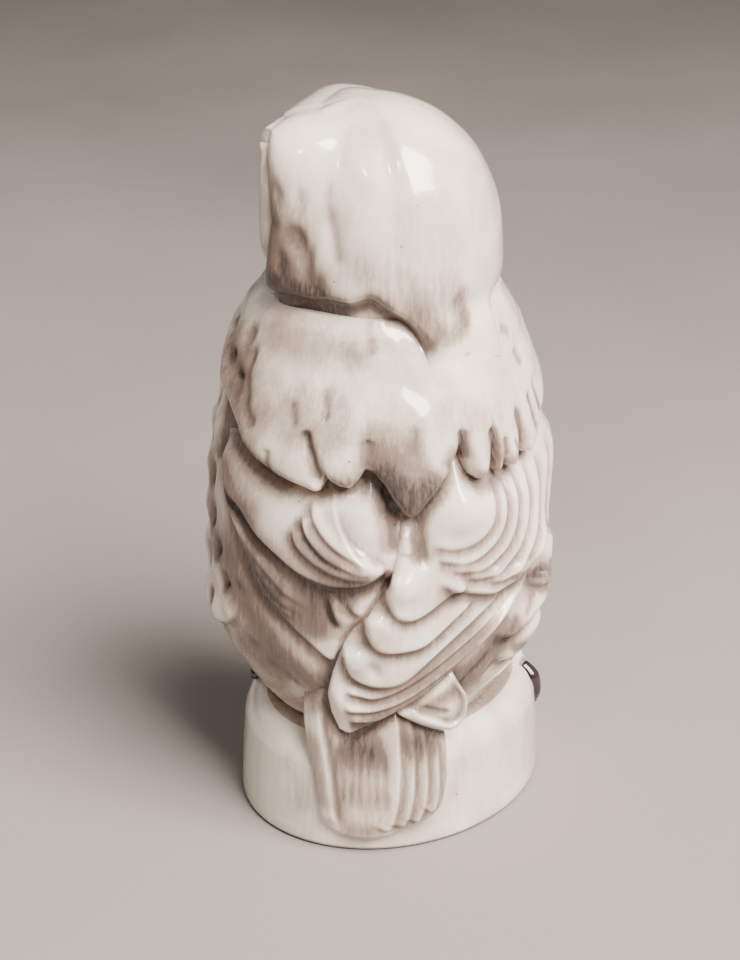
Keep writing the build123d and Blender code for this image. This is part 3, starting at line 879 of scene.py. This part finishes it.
for path, width, depth, dark in (
    ([(-23, 65.6), (-20.5, 63.4), (-17.2, 61), (-14.2, 58.6)], 0.85, 0.9, 1.0),
    ([(38.6, 65.4), (38.2, 63.4), (38.0, 61)], 0.85, 0.9, 1.3),
    ([(49.6, 65), (50.6, 62.4), (51.2, 59)], 0.8, 0.8, 1.3),
    ([(55.4, 63), (54.9, 60)], 0.5, 0.5, 0.8),
    ([(64, 66), (64.6, 63), (65, 60)], 0.6, 0.7, 1.0),
    ([(72.5, 67), (74, 61)], 0.5, 0.5, 0.7),
    ([(60, 62), (61, 60)], 0.4, 0.3, 0.5),
    ([(1.6, 65), (1.6, 61)], 1.2, 0.5, 0.2),
    ([(-36, 62), (-35, 58.6)], 0.6, 0.3, 0.4),
    ([(79, 68), (81, 62)], 0.6, 0.5, 0.7),
):
    mantle.groove(path, width, depth, dark, fade=0.15)
# Pits and short strokes on the left shoulder.
for place, size, depth, dark in (
    ((-80, 73.5), (0.8, 1.4), 0.8, 0.8), ((-69, 70.6), (1.2, 1.0), 1.2, 1.3),
    ((-60, 69), (1.5, 0.9), 0.7, 0.6), ((-62, 74.4), (1.1, 1.2), 0.6, 0.5),
    ((-55, 72), (0.8, 1.3), 0.5, 0.45), ((-88, 70), (1.0, 1.2), 0.7, 0.8),
):
    mantle.swell(place, size, -depth)
    mantle.smudge([(place[0] - 1, place[1] + 0.3), (place[0] + 1, place[1] - 0.3)], 0.9, dark, fade=0)
for path, dark in (
    ([(-52, 67.6), (-48, 65.4), (-43.5, 63.6)], 0.5), ([(-57, 71), (-52, 68.4), (-49, 66.4)], 0.35),
    ([(-17.5, 71), (-15.5, 68.4), (-14.8, 66.4)], 0.4), ([(-30, 69), (-26, 65)], 0.2),
    ([(72, 73), (74, 70)], 0.45), ([(20, 67), (18, 62)], 0.2), ([(68, 76), (74, 74.6)], 0.4),
):
    mantle.groove(path, 0.9, 0.3, dark)
# Brushed stain in the middle lock and along the hem.
mantle.smudge([(0, 60.8), (9, 58.6), (17, 56.6), (24, 57.6), (30, 60)], 3.0, 1.5)
mantle.smudge([(-4, 63), (10, 62.6), (26, 62.4)], 4.5, 0.55)
mantle.smudge([(-84, 74), (-66, 69), (-50, 66), (-34, 64)], 5.0, 0.42)
mantle.smudge([(-36, 70), (-20, 66), (0, 66)], 4.5, 0.3)
mantle.smudge([(-60, 77), (-40, 76), (-16, 75.6), (8, 75)], 2.2, 0.3)
mantle.smudge([(30, 71), (46, 66), (60, 66)], 3.0, 0.14)
mantle.smudge([(-12, 59.6), (-7, 58.8), (-2, 60.2)], 1.1, 0.6)
mantle.smudge([(-56, 63.6), (-44, 60.6), (-34, 59), (-22, 58.2)], 0.8, 0.6)
mantle.smudge([(30, 60.4), (36, 63)], 1.2, 0.6)
mantle.smudge([(40, 59.6), (46, 58.8), (58, 59.4), (70, 60)], 0.8, 0.5)
mantle.smudge([(-66, 68), (-60, 70), (-58, 75)], 2.4, 0.3)
# The nape's locks run down over the collar, to the right of the dark undercut.
mantle.groove([(6, 80), (16, 79.4), (23, 78), (28.5, 76)], 0.9, 0.5, 1.0, fade=0.12)
mantle.ridge([(-2, 79), (8, 77.8), (18, 76)], 1.3, 0.5)
mantle.smudge([(2, 77.6), (3, 75)], 0.9, 0.4)
mantle.smudge([(30, 77), (33, 74.5)], 1.6, 0.5)
mantle.smudge([(44, 77.5), (48, 74)], 1.5, 0.4)
mantle.wipe(20, 0.45, 0.5)
mantle.lift = mantle.blurred(mantle.lift, 2)
HEM_ROLL = 1.5
rim = 1 - np.clip(hem_gap / HEM_ROLL, 0, 1)
mantle.lift -= HEM_ROLL * (1 - np.sqrt(1 - rim ** 2))
under = 1 - smooth_step(0, LIP_SHARE, latitude)
mantle.lift -= UNDERSIDE_TUCK * under
mantle_places = wrapped(MANTLE_LEVELS, angle, height, mantle.lift)
closed_pole(mantle_places, latitude, np.array([0.0, 0.0]), share=0.03)
finished("mantle_cape", mantle_mesh, mantle_places, mantle.stain_and_shade, ivory_glaze, ["mantle"])


# ---------------------------------------------------------------------------
# Head: a smooth hollow dome turned over the left shoulder, flat where the face is set. Its nape overhangs the
# mantle on the near side, with painted shade and dark stain in the undercut, and flows into it on the far
# side.
FACE_TURN = math.radians(74)
face_out = np.array([math.sin(FACE_TURN), -math.cos(FACE_TURN)])
face_side = np.array([math.cos(FACE_TURN), math.sin(FACE_TURN)])
FACE_SIDE_ANGLE = -16.0
HEAD_AXIS = np.array([0.0, -0.3])
HEAD_MIDDLE = 86.0
HEAD_TOP = 106.0
HEAD_BELOW = 13.0
HEAD_BACK = 16.8
HEAD_SIDE = 15.6
HEAD_FRONT = 12.1
FACE_CENTRE_Z = 92.2
DISC_HALF_WIDTH = 12.4
DISC_HALF_HEIGHT = 11.6
DISC_BACK = 8.6
DISC_FRONT = 13.1
SQUARE = 3.6
head_mesh = ball_mesh("head_dome", 420, 240)
ball_places, edges = mesh_arrays(head_mesh)
angle, latitude = round_and_up(ball_places)
sine = np.clip(ball_places[:, 2], -1, 1)
above = sine > 0
CROWN_FULLNESS = 2.3
CHIN_FULLNESS = 3.0
exponent = np.where(above, 2 / CROWN_FULLNESS, 2 / CHIN_FULLNESS)
reach_up = np.where(above, HEAD_TOP - HEAD_MIDDLE, HEAD_BELOW)
height = HEAD_MIDDLE + reach_up * np.sign(sine) * np.abs(sine) ** exponent
girth = np.sqrt(np.clip(1 - sine ** 2, 0, 1)) ** exponent
turned = np.radians(FACE_SIDE_ANGLE - angle)
sideways = np.cos(turned)
forwards = np.sin(turned)
back_radius = girth * oval_reach(sideways / HEAD_SIDE, forwards / HEAD_BACK)
FACE_SQUARENESS = 7.0
FACE_MIDDLE = 92.3
FACE_REACH = 12.6
FACE_UPRIGHTNESS = 3.4
from_middle = np.abs((height - FACE_MIDDLE) / FACE_REACH)
face_girth = np.clip(1 - from_middle ** FACE_UPRIGHTNESS, 0, 1) ** (1 / FACE_UPRIGHTNESS)
towards_face = smooth_step(0.0, 0.55, forwards)
front_girth = girth + (np.maximum(face_girth, girth) * 0.97 - girth) * towards_face
front_depth = HEAD_FRONT * np.minimum(1, 1.3 * front_girth)
front_radius = 1 / (
    np.abs(sideways / np.maximum(HEAD_SIDE * front_girth, 0.01)) ** FACE_SQUARENESS
    + np.abs(forwards / np.maximum(front_depth, 0.01)) ** FACE_SQUARENESS
) ** (1 / FACE_SQUARENESS)
radius = np.where(forwards > 0, front_radius, back_radius)
# The facial disc is set into a shallow socket.
SOCKET_DEPTH = 2.4
from_face_middle = (
    np.abs(radius * sideways / DISC_HALF_WIDTH) ** SQUARE
    + np.abs((height - FACE_CENTRE_Z) / DISC_HALF_HEIGHT) ** SQUARE
) ** (1 / SQUARE)
socket_floor = HEAD_FRONT - SOCKET_DEPTH * (1 - smooth_step(0.82, 0.94, from_face_middle))
radius = np.where(forwards > 0.2, np.minimum(radius, socket_floor / np.maximum(forwards, 0.2)), radius)
# On the breast side the head tucks in under itself, inside the collar.
breast_side = np.maximum(smooth_step(95, 125, angle), 1 - smooth_step(-165, -140, angle))
radius *= 1 - 0.3 * breast_side * (1 - smooth_step(77, 88, height))
# The nape's locks reach down over the collar and die out on it.
_, _, nape_wide, nape_deep = level_at(MANTLE_LEVELS, height)
turn = np.radians(angle)
on_collar = oval_reach(np.sin(turn) / nape_wide, np.cos(turn) / nape_deep)
on_collar += np.minimum(0.13 * (height - 76), 0.4)
flow = smooth_step(15, 27, angle) * (1 - smooth_step(62, 76, angle)) * (1 - smooth_step(77.5, 85, height))
radius = radius + (on_collar - radius) * flow
head = Sheet(angle, height, edges)
# The nape's lower edge, from below the face round to where its locks die out on the collar.
undercut = [
    (-84, 82), (-70, 81), (-58, 81.2), (-47, 81.8), (-33.5, 81.6), (-22, 82.0), (-11, 81.8), (-4.5, 82.6),
    (1, 82.8), (7, 81.6), (13, 80.4), (20, 79.0), (27, 76.6), (31, 73.5),
]
head.ledge(undercut, 1.6, 8.0, 1.0, lip=0.9, fade=0.1)
head.lift -= 1.0 * smooth_step(-95, -75, angle) * (1 - smooth_step(12, 28, angle))
# The dark band under the overhanging nape is painted shade with some stain; it fades up the head.
deep_shade = [(-74, 80.6), (-60, 80.4), (-47, 80.6), (-33, 80.4), (-22, 80.6), (-11, 80.4)]
head.smudge(deep_shade, 1.8, 1.7, fade=0.03)
head.smudge([(-76, 82.6), (-56, 83), (-40, 83.2), (-18, 83)], 2.2, 1.2, fade=0.1)
# Broad smudges on the head's side away from the key light: painted shade with some stain.
head.smudge([(-66, 87), (-50, 88), (-34, 87)], 4.2, 0.4)
head.smudge([(-70, 102), (-62, 94), (-48, 91), (-30, 88)], 5.0, 0.24)
head.smudge([(-16, 88), (6, 86), (30, 84), (54, 85)], 3.4, 0.24)
head.smudge([(22, 78.4), (36, 77.4), (52, 78.6)], 1.8, 0.4)
head.smudge([(-4, 83.0), (4, 82.6), (12, 80.8)], 1.1, 0.9)
head.smudge([(14, 81.6), (26, 80.0), (34, 77)], 2.2, 0.45)
head.smudge([(42, 83.5), (46, 80.5), (50, 78)], 1.8, 0.55)
for place, size, depth, dark in (
    ((-49.6, 95.7), (1.6, 1.2), 0.45, 0.3), ((-37.5, 95.2), (1.2, 1.4), 0.3, 0.2),
    ((-37.3, 89.8), (1.4, 1.2), 0.5, 0.4), ((-45, 86.3), (1.6, 1.2), 0.5, 0.45),
    ((-31.7, 87.3), (1.1, 1.8), 0.45, 0.35), ((-58, 90), (1.0, 2.0), 0.4, 0.4),
    ((-24, 96.4), (1.0, 1.4), 0.25, 0.15), ((-52, 91.5), (1.4, 1.0), 0.35, 0.25),
):
    head.swell(place, size, -depth, turn=-30)
    head.smudge([(place[0], place[1] + 1), (place[0] + 1, place[1] - 1)], 1.1, dark, fade=0)
for path, dark in (
    ([(-23, 95.5), (-21.8, 93), (-19, 90.8), (-16.9, 88.4), (-15, 86.5)], 0.22),
    ([(-46, 91.6), (-41, 90), (-36.5, 88.4), (-30, 86)], 0.35),
    ([(-36, 86), (-30, 84.6), (-24, 84)], 0.25),
):
    head.groove(path, 1.4, 0.4, dark)
head.swell((-41, 87.5), (2.2, 1.6), 0.4, turn=-30)
head.swell((-26, 89), (1.6, 3.0), 0.35, turn=-30)
head.swell((8, 96), (9, 7), 0.35)
head.smudge([(-58, 100), (-57, 92), (-60, 84)], 1.8, 0.5)
head.uneven(8, 12, 0.1)
head.wipe(16, 0.5, 0.35)
head.lift = head.blurred(head.lift, 3)
LEAN = 1.8
lean = LEAN * np.clip((height - HEAD_MIDDLE) / (HEAD_TOP - HEAD_MIDDLE), 0, 1) ** 1.5 - 0.3
radius = radius + head.lift * np.maximum(smooth_step(0.05, 0.5, girth), flow)
head_places = np.stack([
    HEAD_AXIS[0] + lean - radius * np.sin(turn),
    HEAD_AXIS[1] + radius * np.cos(turn),
    height,
], 1)
finished("head_dome", head_mesh, head_places, head.stain_and_shade, ivory_glaze, ["head"])


# ---------------------------------------------------------------------------
# Facial disc: a shallow clay dish with a raised rim, small tufts at its upper corners, brows that meet over
# the beak, and fine feather lines that fan out from each eye. It is modelled with the head, and stain stays
# in its lines.
EYE_SPREAD = 5.6
EYE_RAISE = 1.7


def on_face(across, up, out):
    """Points set in the face: across it, up from its centre, and out from the head's axis."""
    level = HEAD_AXIS + np.outer(across, face_side) + np.outer(out, face_out)
    return np.column_stack([level, FACE_CENTRE_Z + up])


disc_mesh = slab_mesh("facial_disc_feathers", 170, 170)
slab_places, edges = mesh_arrays(disc_mesh)
u = slab_places[:, 0]
v = slab_places[:, 1]
round_u = u * np.sqrt(1 - v ** 2 / 2)
round_v = v * np.sqrt(1 - u ** 2 / 2)
spoke = np.hypot(round_u, round_v)
heading = np.arctan2(round_v, round_u)
span = 1 / (np.abs(np.cos(heading)) ** SQUARE + np.abs(np.sin(heading)) ** SQUARE) ** (1 / SQUARE)
across = DISC_HALF_WIDTH * spoke * span * np.cos(heading)
up = DISC_HALF_HEIGHT * spoke * span * np.sin(heading)
top_side = smooth_step(0.35, 1.0, up / DISC_HALF_HEIGHT)
brow_dip = 1.1 * top_side * np.exp(-(across / 5.5) ** 2)
tuft_rise = 0.4 * top_side * np.exp(-((np.abs(across) - 11) / 2.2) ** 2)
up = up - brow_dip + tuft_rise
bottom_side = smooth_step(0.4, 1.0, -up / DISC_HALF_HEIGHT)
across = across * (1 - 0.22 * bottom_side)
face = Sheet(across / ROUND, up, edges)
dish = smooth_step(1.0, 0.62, spoke)
face.lift -= 1.5 * dish
for sign in (-1, 1):
    eye_across = across - sign * EYE_SPREAD
    eye_up = up - EYE_RAISE
    eye_gap = np.hypot(eye_across, eye_up)
    eye_turn = np.arctan2(eye_up, eye_across)
    own_side = smooth_step(-1.2, 1.2, sign * across)
    fan = np.cos(26 * eye_turn) * smooth_step(3.8, 5.5, eye_gap) * smooth_step(0.97, 0.8, spoke)
    face.lift += own_side * 0.2 * fan
    face.stain_and_shade += own_side * 0.45 * np.clip(-fan, 0, 1)
    face.lift -= own_side * 0.9 * np.exp(-((eye_gap - 3.9) / 0.8) ** 2)
    face.stain_and_shade += own_side * 0.9 * np.exp(-((eye_gap - 3.9) / 0.7) ** 2)
    brow = [(sign * aside / ROUND, rise) for aside, rise in ((0.6, -1.5), (2.0, 4.2), (6.5, 7.4), (11, 10.6))]
    face.ridge(brow, 1.5, 1.5, fade=0.05)
    face.groove([(angle, rise - 1.9) for angle, rise in brow[1:]], 0.7, 0.5, 0.8)
face.stain_and_shade += 0.5 * np.exp(-((spoke - 0.86) / 0.04) ** 2)
# The disc's outer edge is darkened all round: painted shade.
face.stain_and_shade += 0.3 * smooth_step(0.93, 1.0, spoke)
face.lift = face.blurred(face.lift, 2)
rim = np.clip((spoke - 0.93) / 0.07, 0, 1)
face_front = DISC_FRONT - 0.1 + face.lift - 0.9 * (1 - np.sqrt(1 - rim ** 2))
face_out_by = np.where(slab_places[:, 2] > 0.5, np.minimum(face_front, DISC_FRONT), DISC_BACK)
face_places = on_face(across, up, face_out_by)
finished(
    "facial_disc_feathers", disc_mesh, face_places, face.stain_and_shade, ivory_glaze, ["facial_disc"],
)


# ---------------------------------------------------------------------------
# Eyes: two clay domes pressed into the disc's sockets, amber round a wide black pupil, painted on the
# fired body and covered with clear glaze.
def amber_glaze_material():
    """Amber under clear glaze, black in the middle and darker at the rim. Stain is 0 in the middle here."""
    material, shader, place = new_material("amber_glaze")
    tree = material.node_tree
    out = place.node("ShaderNodeAttribute", {"attribute_name": "stain_and_shade"}, output=2)
    cloud = noise(place, (1.0, 1.0, 1.0), 1.3, 3.0)
    iris = (out + (cloud - 0.5) * 0.3).between(0.45, 1.05).mix((0.75, 0.34, 0.03, 1), (0.22, 0.07, 0.012, 1))
    pupil = out.between(0.46, 0.52).mix((0.006, 0.005, 0.005, 1), iris)
    tree.links.new(pupil.socket, shader.inputs["Base Color"])
    rough = cloud * 0.08 + 0.08
    tree.links.new(rough.socket, shader.inputs["Roughness"])
    shader.inputs["Coat Weight"].default_value = 1.0
    shader.inputs["Coat Roughness"].default_value = 0.03
    return material


amber_glaze = amber_glaze_material()
EYE_RADIUS = 3.2
for name, sign in (("right_eye", -1), ("left_eye", 1)):
    eye_mesh = ball_mesh(f"{name}_dome", 72, 36)
    ball_places, edges = mesh_arrays(eye_mesh)
    out = np.where(ball_places[:, 2] > 0, ball_places[:, 2] * 1.6, ball_places[:, 2] * 0.8)
    eye_places = on_face(
        sign * EYE_SPREAD + ball_places[:, 0] * EYE_RADIUS,
        EYE_RAISE + ball_places[:, 1] * EYE_RADIUS,
        DISC_FRONT - 2.0 + out,
    )
    from_middle = np.hypot(ball_places[:, 0], ball_places[:, 1])
    finished(f"{name}_dome", eye_mesh, eye_places, from_middle, amber_glaze, [name])


# ---------------------------------------------------------------------------
# Beak: a small hooked horn of clay, drawn to a point and dipped in a thick black glaze. The talons further
# down are made in the same way.
def black_glaze_material():
    """Black glaze, thinner and browner in faint cloudy places."""
    material, shader, place = new_material("black_glaze")
    tree = material.node_tree
    cloud = noise(place, (1.0, 1.0, 1.0), 0.9, 4.0, 0.6)
    colour = cloud.between(0.35, 0.75).mix((0.012, 0.010, 0.010, 1), (0.045, 0.028, 0.022, 1))
    tree.links.new(colour.socket, shader.inputs["Base Color"])
    rough = cloud * 0.14 + 0.12
    tree.links.new(rough.socket, shader.inputs["Roughness"])
    shader.inputs["Coat Weight"].default_value = 0.8
    shader.inputs["Coat Roughness"].default_value = 0.06
    return material


black_glaze = black_glaze_material()


def horn(name, path, width, thickness, upright):
    """A horn along a path of 3-D points: width and thickness at each point, thickness along upright."""
    mesh = ball_mesh(name, 36, 40)
    places, edges = mesh_arrays(mesh)
    share = round_and_up(places)[1]
    path = smooth_path(path)
    stops = np.linspace(0, 1, len(path))
    spine = np.stack([np.interp(share, stops, path[:, axis]) for axis in range(3)], 1)
    ahead = np.gradient(path, axis=0)
    ahead = np.stack([np.interp(share, stops, ahead[:, axis]) for axis in range(3)], 1)
    ahead /= np.linalg.norm(ahead, axis=1)[:, None]
    beside = np.cross(ahead, upright)
    beside /= np.linalg.norm(beside, axis=1)[:, None]
    above = np.cross(beside, ahead)
    longitude = np.arctan2(places[:, 1], places[:, 0])
    marks = np.linspace(0, 1, len(width))
    half_width = np.interp(share, marks, width)
    half_thickness = np.interp(share, marks, thickness)
    round_end = np.clip(np.sin(np.pi * share), 0, 1) ** 0.5
    spread = np.minimum(round_end * 2.2, 1)
    spine += beside * (np.cos(longitude) * half_width * spread)[:, None]
    spine += above * (np.sin(longitude) * half_thickness * spread)[:, None]
    return mesh, spine


beak_path = on_face(
    np.zeros(4), np.array([2.0, 0.4, -2.4, -5.0]), DISC_FRONT + np.array([-1.4, 1.0, 1.8, 0.8]),
)
beak_width = [1.0, 1.8, 1.3, 0.15]
beak_depth = [1.2, 1.5, 1.1, 0.15]
beak_mesh, beak_places = horn("beak_horn", beak_path, beak_width, beak_depth, (*face_out, 0.0))
no_stain = np.zeros(len(beak_places))
finished("beak_horn", beak_mesh, beak_places, no_stain, black_glaze, ["beak"])

# ---------------------------------------------------------------------------
# Legs and feet: short feathered shanks of clay under the breast and three thick scaly toes on each foot, all
# luted to the plinth's top, with black glazed claws that hook over its shoulder.
PLINTH_TOP = 16.5
LEG_PLACE = (10.5, -11.0)
LEG_RADIUS = 4.6
LEG_HALF_HEIGHT = 5.2
LEG_FEATHERS = 11
TOE_HALF_WIDTH = 2.0
TOE_HALF_HEIGHT = 2.4
KNUCKLE_HEIGHT = 0.28
KNUCKLE_STEP = 2.6
CLAW_HALF_WIDTHS = [1.1, 1.4, 1.1, 0.14]
# Each toe: its heading in degrees outwards from straight ahead, its length, and how far it hangs down.
LEFT_TOES = [(4, 10.4, 5.6), (52, 10.6, 5.6), (146, 13.0, 1.8)]
RIGHT_TOES = [(4, 9.8, 5.6), (50, 10.4, 5.6), (112.5, 12.2, 7.0)]


def joined_mesh(name, parts):
    """One mesh from several: a list of (mesh, places, stain)."""
    shape = bmesh.new()
    places = []
    stains = []
    for part, spots, stain_and_shade in parts:
        shape.from_mesh(part)
        places.append(spots)
        stains.append(stain_and_shade)
        bpy.data.meshes.remove(part)
    mesh = bpy.data.meshes.new(name)
    shape.to_mesh(mesh)
    shape.free()
    return mesh, np.vstack(places), np.concatenate(stains)


for side, sign, toes in (("left", 1, LEFT_TOES), ("right", -1, RIGHT_TOES)):
    root = np.array([sign * LEG_PLACE[0], LEG_PLACE[1]])
    leg_mesh = ball_mesh(f"{side}_leg_feathers", 120, 80)
    ball_places, edges = mesh_arrays(leg_mesh)
    around = np.degrees(np.arctan2(ball_places[:, 1], ball_places[:, 0]))
    height = PLINTH_TOP + 1.2 + (ball_places[:, 2] + 1) * LEG_HALF_HEIGHT
    leg = Sheet(around, height, edges)
    leg.lift = 0.35 * np.cos(np.radians(around * LEG_FEATHERS)) * (1 - 0.5 * np.abs(ball_places[:, 2]))
    leg.lift += 0.25 * np.cos(np.radians(around * LEG_FEATHERS + 180) + height * 1.1)
    leg.stain_and_shade = 0.6 * np.clip(-leg.lift, 0, 1)
    girth = np.sqrt(np.clip(1 - ball_places[:, 2] ** 2, 0, 1)) ** 0.7
    reach = (LEG_RADIUS + leg.lift) * girth
    turn = np.arctan2(ball_places[:, 1], ball_places[:, 0])
    leg_places = np.stack([root[0] + reach * np.cos(turn), root[1] + reach * np.sin(turn) * 0.95, height], 1)
    name = f"{side}_leg_feathers"
    finished(name, leg_mesh, leg_places, leg.stain_and_shade, ivory_glaze, [f"{side}_leg"])
    toe_parts = []
    claw_parts = []
    for number, (angle, length, drop) in enumerate(toes):
        heading = math.radians(angle)
        ahead = np.array([sign * math.sin(heading), -math.cos(heading)])
        beside = np.array([-ahead[1], ahead[0]])
        toe_mesh = ball_mesh(f"{side}_toe_{number}", 48, 96)
        ball_places, edges = mesh_arrays(toe_mesh)
        along = (ball_places[:, 2] + 1) / 2 * length
        girth = np.sqrt(np.clip(1 - ball_places[:, 2] ** 2, 0, 1)) ** 0.55
        knuckle = KNUCKLE_HEIGHT * np.cos(along * 2 * math.pi / KNUCKLE_STEP)
        ring = np.maximum(np.sqrt(1 - ball_places[:, 2] ** 2), 1e-6)
        across = ball_places[:, 0] / ring
        up = ball_places[:, 1] / ring
        half = (TOE_HALF_WIDTH + knuckle * 0.5) * girth
        rise = np.where(up > 0, (TOE_HALF_HEIGHT + knuckle) * girth, 0.6 * girth)
        fall = 0.36 * drop * np.clip((along - length * 0.55) / (length * 0.45), 0, 1) ** 2
        level = root + np.outer(along, ahead) + np.outer(across * half, beside)
        toe_places = np.column_stack([level, PLINTH_TOP + 0.4 + up * rise - fall])
        # Stain in the knuckle creases, and painted shade on the toes' undersides.
        toe_stain_and_shade = 0.7 * np.clip(-knuckle / KNUCKLE_HEIGHT, 0, 1) * (up > -0.2) + 0.3 * (up < 0.2)
        toe_parts.append((toe_mesh, toe_places, toe_stain_and_shade))
        tip = np.array([*(root + ahead * (length - 1.4)), PLINTH_TOP + 0.6 - 0.2 * drop])
        out = np.array([*ahead, 0.0])
        hook = [
            tip,
            tip + out * 1.9 - (0, 0, 0.25 * drop),
            tip + out * 2.5 - (0, 0, 0.6 * drop),
            tip + out * 2.4 - (0, 0, 0.95 * drop),
        ]
        claw_mesh, claw_places = horn(
            f"{side}_claw_{number}", hook, CLAW_HALF_WIDTHS, CLAW_HALF_WIDTHS, (0.0, 0.0, 1.0),
        )
        claw_parts.append((claw_mesh, claw_places, np.zeros(len(claw_places))))
    mesh, spots, stain_and_shade = joined_mesh(f"{side}_foot_toes", toe_parts)
    finished(f"{side}_foot_toes", mesh, spots, stain_and_shade, ivory_glaze, [f"{side}_foot"])
    mesh, spots, stain_and_shade = joined_mesh(f"{side}_claws", claw_parts)
    finished(f"{side}_claws", mesh, spots, stain_and_shade, black_glaze, [f"{side}_talons"])


# ---------------------------------------------------------------------------
# Plinth: a plain slip-cast oval drum, slightly uneven, with a soft shoulder, a dry foot ring underneath and a
# vent hole in its floor. Its glaze is thin and clean, with painted shade and a little stain where the owl is
# luted on, and a painted contact shadow round its foot.
PLINTH_CENTRE = np.array([-1.6, -1.1])
PLINTH_LONG = 24.6
PLINTH_SHORT = 21.0
PLINTH_TURN = math.radians(60)
SHOULDER = 4.5
VENT_RADIUS = 3.5
# How far in from the foot's outline, and how high, from the vent up round the wall to the middle of the top.
profile = [
    (17.6, 5.0), (17.5, 0.6), (3.2, 0.6), (3.0, 0.0), (0.6, 0.0), (0.1, 0.45), (0.05, 2.0), (0.5, 11.6),
]
SHOULDER_STEPS = 8
for step in range(1, SHOULDER_STEPS + 1):
    bend = math.pi / 2 * step / SHOULDER_STEPS
    profile.append((0.52 + SHOULDER * (1 - math.cos(bend)), PLINTH_TOP - SHOULDER * (1 - math.sin(bend))))
profile.append((10, PLINTH_TOP))
profile = np.array(profile)
plinth_mesh = ball_mesh("plinth_drum", 300, 200)
ball_places, edges = mesh_arrays(plinth_mesh)
angle, latitude = round_and_up(ball_places)
lengths = np.concatenate([[0], np.cumsum(np.hypot(*np.diff(profile, axis=0).T))])
lengths = lengths / lengths[-1]
inset = np.interp(latitude, 0.03 + 0.94 * lengths, profile[:, 0])
height = np.interp(latitude, 0.03 + 0.94 * lengths, profile[:, 1])
turn = np.radians(angle) + math.pi / 2
radius = oval_reach(np.cos(turn - PLINTH_TURN) / PLINTH_LONG, np.sin(turn - PLINTH_TURN) / PLINTH_SHORT)
drum = Sheet(angle, height, edges)
wall = smooth_step(0.8, 3, height) * (1 - smooth_step(14, 16, height))
drum.lift = -0.12 * wall * (1 + np.sin(np.radians(angle * 2 + 40)) * np.sin(height / 4))
drum.smudge([(-34, 15), (-28, 9), (-24, 4)], 2.4, 0.16)
drum.smudge([(36, 15.5), (34, 10), (30, 5)], 1.6, 0.14)
# Painted shade, with a little stain, on the plinth's top where the owl sits on it.
drum.stain_and_shade += 0.5 * np.exp(-((height - PLINTH_TOP) / 0.8) ** 2) * (inset > 4)
# A dark line round the bottom edge: painted contact shadow.
drum.stain_and_shade += 0.55 * np.exp(-((height - 0.25) / 0.35) ** 2)
reach = np.maximum(radius - inset + drum.lift, 0.0)
reach = reach * smooth_step(0, 0.03, latitude) * smooth_step(0, 0.03, 1 - latitude)
in_vent = (inset > 17.4) & (height < 5.5)
reach = np.where(in_vent, np.minimum(reach, VENT_RADIUS), reach)
plinth_places = np.stack([
    PLINTH_CENTRE[0] + reach * np.cos(turn),
    PLINTH_CENTRE[1] + reach * np.sin(turn),
    height,
], 1)
finished("plinth_drum", plinth_mesh, plinth_places, drum.stain_and_shade, ivory_glaze, ["plinth"])


# ---------------------------------------------------------------------------
# Stage: a plain pale cloth with painted shade that darkens it towards the far side, one large soft box at the
# left, a small lamp behind, and weak light from the front and the room.
floor_mesh = bpy.data.meshes.new("floor")
floor_shape = bmesh.new()
bmesh.ops.create_grid(floor_shape, x_segments=1, y_segments=1, size=3)
floor_shape.to_mesh(floor_mesh)
floor_shape.free()
floor = bpy.data.objects.new("floor", floor_mesh)
bpy.context.scene.collection.objects.link(floor)
floor_material, floor_shader, floor_place = new_material("pale_cloth")
floor_split = floor_place.node("ShaderNodeSeparateXYZ", {}, output=1, _0=floor_place)
# The cloth's colour darkens towards the far side in broad clouds: painted shade.
floor_shade_cloud = noise(floor_place, (1.0, 1.0, 1.0), 0.012, 3.0)
floor_weave = noise(floor_place, (1.0, 0.35, 1.0), 1.4, 2.0)
painted_falloff = (floor_split + floor_shade_cloud * 160).between(-430.0, 80.0) + (floor_weave - 0.5) * 0.12
floor_colour = painted_falloff.mix((0.075, 0.062, 0.053, 1), (0.27, 0.242, 0.222, 1))
floor_material.node_tree.links.new(floor_colour.socket, floor_shader.inputs["Base Color"])
floor_shader.inputs["Roughness"].default_value = 0.9
floor_mesh.materials.append(floor_material)


def soft_light(name, place, size, power, colour):
    """A square soft box aimed at the middle of the owl."""
    data = bpy.data.lights.new(name, "AREA")
    data.size = size
    data.energy = power
    data.color = colour
    light = bpy.data.objects.new(name, data)
    light.location = place
    light.rotation_mode = "QUATERNION"
    light.rotation_quaternion = (camera_aim - Vector(place)).to_track_quat("-Z", "Y")
    bpy.context.scene.collection.objects.link(light)


soft_light("key", (-0.45, 0.38, 0.80), 0.62, 43.0, (1.0, 0.93, 0.87))
soft_light("lamp", (0.19, 0.62, 0.80), 0.07, 1.3, (1.0, 0.95, 0.90))
soft_light("front_fill", (0.9, -0.8, 0.7), 0.8, 0.8, (1.0, 0.97, 0.95))
world = bpy.data.worlds.new("room")
world.use_nodes = True
world.node_tree.nodes["Background"].inputs["Color"].default_value = (0.75, 0.69, 0.64, 1)
world.node_tree.nodes["Background"].inputs["Strength"].default_value = 0.26
bpy.context.scene.world = world
